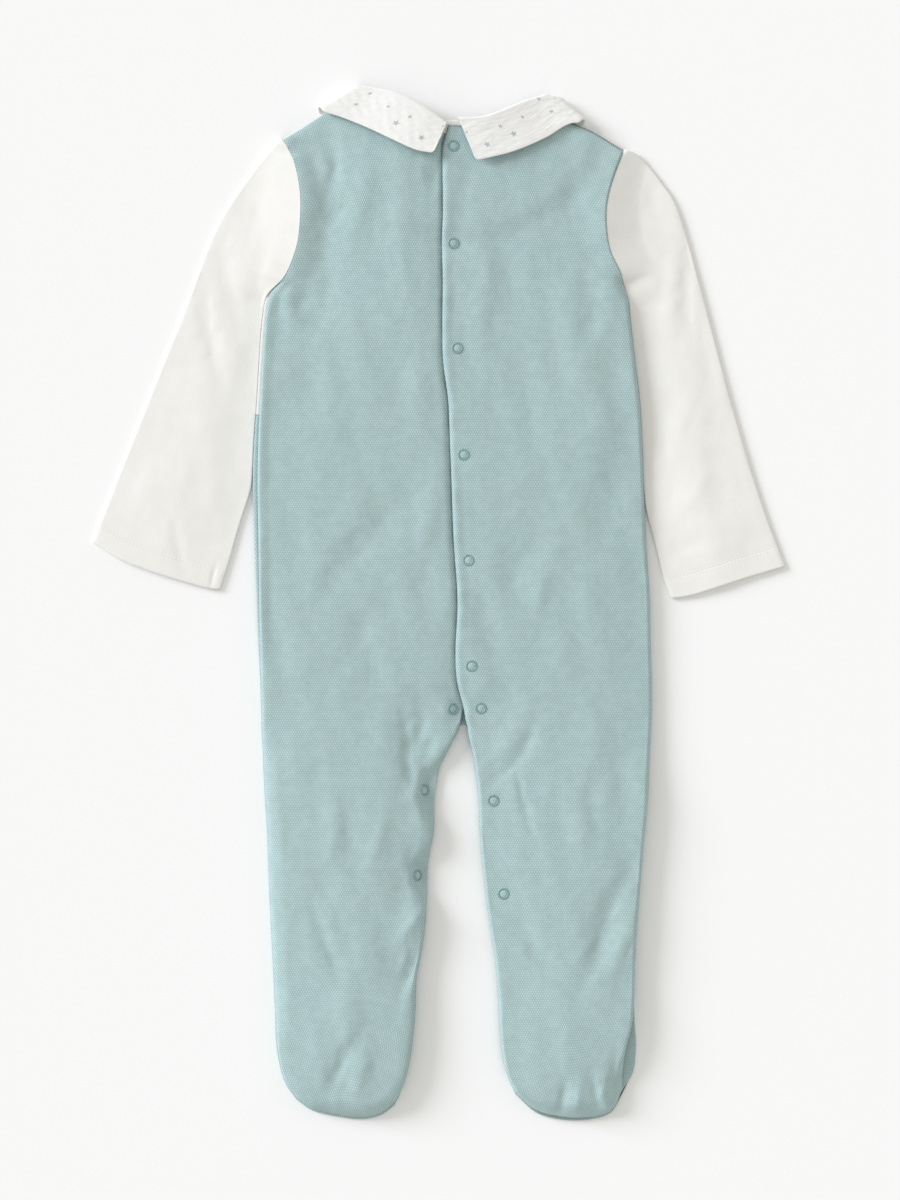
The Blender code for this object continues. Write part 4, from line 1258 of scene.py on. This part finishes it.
leftCollar = {
    "roll": [(5.8, 305.2), (-10.5, 316.6), (-30.0, 326.2), (-50.0, 332.4)],
    "edge": [(-3.2, 285.0), (-14.5, 287.2), (-26.5, 292.6), (-51.7, 305.2), (-64.5, 311.3),
             (-75.2, 315.0)],
    "lift": 4.4,
    "side": -1,
    "seed": 70,
}
rightCollar = {
    "roll": [(12.4, 308.7), (26.5, 309.0), (40.0, 313.4), (60.0, 322.4), (72.4, 326.8)],
    "edge": [(24.0, 280.5), (33.5, 282.6), (46.0, 285.9), (58.0, 290.6), (70.5, 297.0), (80.5, 303.9),
             (86.5, 306.9), (92.0, 307.6)],
    "lift": 3.0,
    "side": 1,
    "seed": 80,
}
collar = {
    "back": 110,  # stations along the back, round the turn and along the front
    "turn": 16,
    "front": 70,
    "rollRadius": 61.0,  # round the neck's centre, below the bodice
    "edgeRadius": 89.5,
    "frontEnd": 86.0,
    "section": (46, 13, 7),  # places on the fall, round the roll and on the stand
    "rim": 5,  # and round each of its edges
    "rimRound": 0.35,
    "low": 0.2,  # room below the stand
    "over": 0.35,  # and between the fall and the body
    "stand": 5.6,
    "rollRise": 1.6,  # the roll stands up at the back
    "level": 3.0,  # of the shoulder fold, halfway between back and front
    "crinkles": [(0.096, 8.0), (0.064, 4.2)],  # height and size
    "crinkleFrom": 1.4,  # the height from which the cloth shows and crinkles
    "corner": 2.2,  # radius of the corner at the centre back
    "shoulderCorner": 2.6,  # and of the one where the roll meets the shoulder fold
    "flare": 2.6,  # how far the turned-under cloth shows past the edge at the shoulder
    "reach": 1.5,  # how round the shoulder fold is
    "roundFrom": (-2.5, 6.5),  # and over how much of its width it rounds
    "drawIn": 3.0,  # the cloth draws in this far before it
    "hold": 9.0,  # and lies level over this last of the shoulder, so that it turns down in one round
}


def collarSection(fall, lift, rise):
    # Middle line of the folded cloth, from the free edge over the roll to the stand, then its outline
    half = layers["collarWall"] / 2
    high = layers["seamGap"] / 2 + layers["bodyWall"] + collar["over"] + half
    low = collar["low"] + half
    radius = (high - low) / 2
    onFall, onRoll, onStand = collar["section"]
    steps = np.linspace(1.0, 0.0, onFall)
    rolled = high + rise
    fallLine = [between(half + radius, fall - half, steps), between(rolled, high + lift, steps**1.8)]
    turns = np.linspace(0.5, 1.5, onRoll)[1:-1] * np.pi
    roll = [half + radius + radius * np.cos(turns), (rolled + low) / 2 + (rolled - low) / 2 * np.sin(turns)]
    stand = [np.linspace(half + radius, collar["stand"] - half, onStand), np.full(onStand, low)]
    line = np.hstack([fallLine, roll, stand]).T
    step = unit(np.gradient(line, axis=0))
    normal = np.column_stack([step[:, 1], -step[:, 0]])
    run = lengths(line)
    ends = []
    for spot, ahead in ((line[-1], step[-1]), (line[0], -step[0])):
        beside = np.array([ahead[1], -ahead[0]])
        angles = np.linspace(0.0, np.pi, collar["rim"] + 2)[1:-1]
        ends.append([spot + half * (np.cos(a) * beside + np.sin(a) * ahead) for a in angles])
    ring = np.vstack([line + normal * half, ends[0], (line - normal * half)[::-1], ends[1]])
    across = np.concatenate([run, np.full(collar["rim"], run[-1]), run[::-1], np.zeros(collar["rim"])])
    return ring, across


def collarStations(part):
    # Where the roll and the free edge are, how far the cloth has turned under and how high its edge lifts
    centre = np.array(layers["neckCentre"])
    shares = np.linspace(0, 1, collar["back"] + 1)
    rolls = along(smoothLine(part["roll"]), shares)
    edges = along(smoothLine(part["edge"]), shares)
    down = unit(edges[-1] - rolls[-1])
    outward = np.array([down[1], -down[0]]) * np.sign(part["side"] * down[1])
    drawn = collar["drawIn"] * ease(0.5, 1.0, shares)[:, None] * outward
    rolls, edges = rolls - drawn, edges - drawn
    turns = np.zeros(len(shares))
    lifts = part["lift"] * (1.0 - 0.62 * ease(0.0, 1.0, shares))
    back = collar["corner"] * (1.0 - quarterRound(lengths(edges), collar["corner"]))
    edges += unit(rolls - edges) * back[:, None]
    # The corner between roll and shoulder fold is cut round, and the turned-under cloth fans out below
    rest = lengths(rolls)[-1] - lengths(rolls)
    cut = collar["shoulderCorner"] * (1.0 - quarterRound(rest, collar["shoulderCorner"]))
    rolls += unit(edges - rolls) * cut[:, None]
    shares = np.linspace(0, 1, collar["turn"] + 1)[1:]
    rolls = np.vstack([rolls, np.tile(rolls[-1], (len(shares), 1))])
    edges = np.vstack([edges, edges[-1] + down * (collar["flare"] * ease(0.1, 0.9, shares))[:, None]])
    turns = np.append(turns, np.pi * shares)
    lifts = np.append(lifts, lifts[-1] * (1.0 - ease(0.0, 1.0, shares)))
    shares = np.linspace(0, 1, collar["front"] + 1)[1:]
    final = []
    for start, radius in ((rolls[-1], collar["rollRadius"]), (edges[-1], collar["edgeRadius"])):
        arm = start - centre
        begin = math.atan2(arm[0], -arm[1])
        turn = begin + (part["side"] * math.radians(90.0 - collar["frontEnd"]) - begin) * shares
        length = np.linalg.norm(arm) + (radius - np.linalg.norm(arm)) * ease(0.0, 0.4, shares)
        final.append(centre + length[:, None] * np.column_stack([np.sin(turn), -np.cos(turn)]))
    rolls = np.vstack([rolls, final[0]])
    edges = np.vstack([edges, final[1]])
    turns = np.append(turns, np.full(len(shares), np.pi))
    lifts = np.append(lifts, np.zeros(len(turns) - len(lifts)))
    return rolls, edges, turns, lifts, outward


def collarRings(part, overLap):
    # The section at every station, laid on the body and turned under at the shoulder, and its map
    rolls, edges, turns, lifts, outward = collarStations(part)
    run = lengths((rolls + edges) / 2) + turns * collar["level"]
    rises = collar["rollRise"] * ease(collar["back"], 0.5 * collar["back"], np.arange(len(rolls)))
    inside = (rolls + edges) @ -outward / 2
    holds = collar["hold"] * ease(1.6 * collar["hold"], 0.0, inside - inside[collar["back"]])
    spots, maps = [], []
    for roll, edge, turn, lift, rise, hold, far in zip(rolls, edges, turns, lifts, rises, holds, run):
        ring, across = collarSection(np.linalg.norm(edge - roll), lift, rise)
        plan = roll + ring[:, :1] * unit(edge - roll)
        off = ring[:, 1]
        under = puff(plan - outward * hold) + (lapLift(plan) if overLap else 0.0)
        crinkled = sum(high * ripple(plan, size, part["seed"] + number)
                       for number, (high, size) in enumerate(collar["crinkles"]))
        fallOnly = ease(collar["stand"] * 0.3, collar["stand"], ring[:, 0]) * (off > collar["crinkleFrom"])
        off = off + crinkled * fallOnly * math.cos(turn) ** 2
        bulge = collar["reach"] * ease(*collar["roundFrom"], ring[:, 0])
        z = collar["level"] + off * math.cos(turn) + under * (1.0 + math.cos(turn)) / 2
        plan = plan + outward * (off * math.sin(turn) * bulge)[:, None]
        spots.append(np.column_stack([plan, z]))
        maps.append(np.column_stack([np.full(len(ring), far), across]))
    return np.array(spots), np.array(maps)


def makeCollar(name, node, part, overLap):
    spots, maps = collarRings(part, overLap)
    rings, count = spots.shape[:2]
    work = bmesh.new()
    bmesh.ops.create_grid(work, x_segments=count, y_segments=rings - 1, size=0.5)
    grid = np.array([v.co for v in work.verts])
    i = np.rint((grid[:, 0] + 0.5) * count).astype(int) % count
    j = np.rint((grid[:, 1] + 0.5) * (rings - 1)).astype(int)
    putVerts(work, spots[j, i])
    layer = work.loops.layers.uv.new("cloth")
    flat = maps[j, i]
    for f in work.faces:
        for loop in f.loops:
            loop[layer].uv = flat[loop.vert.index]
    bmesh.ops.remove_doubles(work, verts=work.verts, dist=0.002)
    ends = [e for e in work.edges if e.is_boundary]
    bmesh.ops.holes_fill(work, edges=ends, sides=0)
    roundRims(work, ends, collar["rimRound"])
    piece = finishPiece(name, work, muslinCloth, node)
    print(name, "made")
    return piece


collarLeft = makeCollar("collarLeft", "collar_left", leftCollar, False)
collarRight = makeCollar("collarRight", "collar_right", rightCollar, True)

# The binding of the neck seam, seen between the two collar ends

band = {
    "line": [(-42.0, 322.5), (-33.0, 320.0), (-14.0, 311.5), (0.0, 303.5), (14.0, 303.3), (26.0, 303.8),
             (40.0, 308.0), (56.0, 313.0)],
    "above": 4.2,
    "below": 4.0,
    "grid": (120, 12),
    "rimRound": 0.25,
}


def makeBand():
    work = paramGrid(*band["grid"])
    rims = rimEdges(work)
    t, s, skin = params(work)
    line = along(smoothLine(band["line"]), t)
    p = line + np.column_stack([np.zeros(len(t)), between(-band["below"], band["above"], s)])
    z = backLevel(p) - layers["seamGap"] - layers["bandWall"] * (1.0 - skin)
    putVerts(work, np.column_stack([p, z]))
    roundRims(work, rims, band["rimRound"])
    return finishPiece("neckBand", work, jerseyCloth, "neck_band", flatUv)


neckBand = makeBand()

# Stitches lie along a line in space, one small bead of thread to a stitch

stitches = {
    "cuff": (2.4, 1.7, 0.34),  # pitch, length and thickness
    "side": (1.5, 0.95, 0.36),
    "cuffRows": (12.2, 14.1),  # how far they are from the cuff's edge
    "cuffEnds": (0.52, 0.985),
    "sideEnds": (118.0, -14.0),
}


def makeStitches(name, lines, kind, material):
    pitch, length, thick = stitches[kind]
    work = bmesh.new()
    for line in lines:
        run = lengths(line)[-1]
        for start in np.arange(pitch * 0.5, run - pitch * 0.5, pitch):
            ends = along(line, np.array([start, start + length]) / run)
            middle, heading = Vector(ends.mean(axis=0)), Vector(ends[1] - ends[0])
            turn = heading.to_track_quat("X", "Z").to_matrix().to_4x4()
            size = Matrix.Diagonal((length / 2, thick / 2, thick / 2, 1.0))
            bmesh.ops.create_uvsphere(work, u_segments=8, v_segments=5, radius=1.0,
                                      matrix=Matrix.Translation(middle) @ turn @ size)
    return finishPiece(name, work, material)


def cuffLines(part):
    _, inner, _ = sleeveRails(part)
    found = []
    for far in stitches["cuffRows"]:
        c = np.linspace(*stitches["cuffEnds"], 90)
        s = np.full(len(c), 1.0 - far / lengths(inner)[-1])
        p, z = sleeveSpots(part, c, s, np.zeros(len(c)))
        found.append(np.column_stack([p, z + 0.02]))
    return found


def sideLines():
    y = np.linspace(*stitches["sideEnds"], 240)
    p = np.column_stack([edgeX(leftPanel, y, inner=False) - 0.25, y])
    return [np.column_stack([p, frontLevel(p) + layers["bodyWall"] + 0.12])]


makeStitches("cuffStitchesLeft", cuffLines(leftSleeve), "cuff", whiteThread)
makeStitches("cuffStitchesRight", cuffLines(rightSleeve), "cuff", whiteThread)
# These stitches lie in the crevice at the back's edge, and their dark teal is partly painted shade
makeStitches("sideStitches", sideLines(), "side", tealThreadAndShade)
print("stitches made")

# Snaps: an enamelled ring pressed into the cloth, with the cloth swelling up inside it

ring = {
    "radius": 3.8,
    "width": 1.3,
    "height": 0.9,
    "foot": 0.25,  # its upright outer edge
    "seat": 3.2,  # where the cloth's height is taken
    "sink": 0.35,
    "segments": 48,
    "clothHeight": 0.26,  # of a ball
    "clothSink": 0.2,
}


def clothTop(spot, level):
    # Height and lean of the cloth under a ring
    turns = np.linspace(0, 5.5, 8)
    arms = ring["seat"] * np.column_stack([np.cos(turns), np.sin(turns)])
    heights = level(np.array(spot) + arms) + layers["bodyWall"]
    slopes = heights @ arms / np.sum(arms**2, axis=0)
    return heights.mean(), Vector((*-slopes, 1.0)).normalized()


def turned(profile, segments):
    # A closed profile of radius and height, spun all the way round
    work = bmesh.new()
    corners = [work.verts.new((r, 0.0, h)) for r, h in profile]
    edges = [work.edges.new(pair) for pair in zip(corners, corners[1:] + corners[:1])]
    bmesh.ops.spin(work, geom=corners + edges, cent=(0, 0, 0), axis=(0, 0, 1), angle=2 * math.pi,
                   steps=segments, use_merge=True)
    return work


def snapProfile():
    inner, half = ring["radius"] - ring["width"], ring["width"] / 2
    foot, high = ring["foot"], ring["height"] - ring["foot"]
    arc = [(inner + half + half * math.cos(a), foot + high * math.sin(a)) for a in np.linspace(0, np.pi, 11)]
    return [(ring["radius"], 0.0)] + arc + [(inner, 0.0)]


def settle(work, spot, level, sink):
    height, normal = clothTop(spot, level)
    lean = normal.to_track_quat("Z", "Y").to_matrix().to_4x4()
    bmesh.ops.transform(work, matrix=Matrix.Translation((*spot, height - sink)) @ lean, verts=work.verts)


def makeSnaps():
    for number, spot in enumerate(placketSnaps + legSnaps, start=1):
        onRight = number <= len(placketSnaps) or spot[0] > layers["crotch"][0]
        level = rightLevel if onRight else leftLevel
        work = turned(snapProfile(), ring["segments"])
        settle(work, spot, level, ring["sink"])
        finishPiece(f"snapRing{number:02d}", work, ringEnamel, f"snap_ring_{number:02d}")
        # The cloth inside the ring
        dome = bmesh.new()
        inside = ring["radius"] - ring["width"] + 0.1
        bmesh.ops.create_uvsphere(dome, u_segments=32, v_segments=16, radius=inside)
        bmesh.ops.scale(dome, vec=(1.0, 1.0, ring["clothHeight"]), verts=dome.verts)
        settle(dome, spot, level, ring["clothSink"])
        finishPiece(f"snapCloth{number:02d}", dome, knitCloth, None, knitUv)


makeSnaps()
for name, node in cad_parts.items():
    if name.startswith("snap_stud"):
        for place in node.material_slots:
            place.material = studMetal
print("snaps made")

# Floor, light and camera

studio = {
    "floor": (0.93, 0.93, 0.93),
    "floorDrop": 0.3,
    "floorSize": 3000.0,
    "key": {"from": (-0.905, 0.425, 0.404), "strength": 2.8, "spread": 26.0, "colour": (0.90, 0.935, 1.0)},
    "sky": (1.0, 0.988, 0.943),
    "skyStrength": 0.712,
    "aim": (7.36, 0.38),
    "height": 1925.0,
    "lens": 90.0,
}


def makeFloor():
    work = bmesh.new()
    bmesh.ops.create_grid(work, x_segments=1, y_segments=1, size=studio["floorSize"] * mm)
    bmesh.ops.translate(work, vec=(0.0, 0.0, -studio["floorDrop"] * mm), verts=work.verts)
    mesh = bpy.data.meshes.new("floor")
    work.to_mesh(mesh)
    work.free()
    material, _, shader = newMaterial("paper", 1.0, specular=0.0)
    shader.inputs["Base Color"].default_value = (*studio["floor"], 1.0)
    mesh.materials.append(material)
    floor = bpy.data.objects.new("floor", mesh)
    bpy.context.scene.collection.objects.link(floor)


def makeLight():
    key = studio["key"]
    lamp = bpy.data.lights.new("softKey", "SUN")
    lamp.energy = key["strength"]
    lamp.angle = math.radians(key["spread"])
    lamp.color = key["colour"]
    item = bpy.data.objects.new("softKey", lamp)
    item.rotation_euler = Vector([-k for k in key["from"]]).to_track_quat("-Z", "Y").to_euler()
    bpy.context.scene.collection.objects.link(item)
    world = bpy.data.worlds.new("paleSky")
    world.use_nodes = True
    sky = world.node_tree.nodes["Background"]
    sky.inputs["Color"].default_value = (*studio["sky"], 1.0)
    sky.inputs["Strength"].default_value = studio["skyStrength"]
    bpy.context.scene.world = world


def makeCamera():
    lens = bpy.data.cameras.new("camera")
    lens.lens = studio["lens"]
    item = bpy.data.objects.new("camera", lens)
    x, y = studio["aim"]
    item.location = (x * mm, y * mm, studio["height"] * mm)
    bpy.context.scene.collection.objects.link(item)
    bpy.context.scene.camera = item


makeFloor()
makeLight()
makeCamera()
bpy.context.scene.view_settings.view_transform = "Standard"
print("studio made")
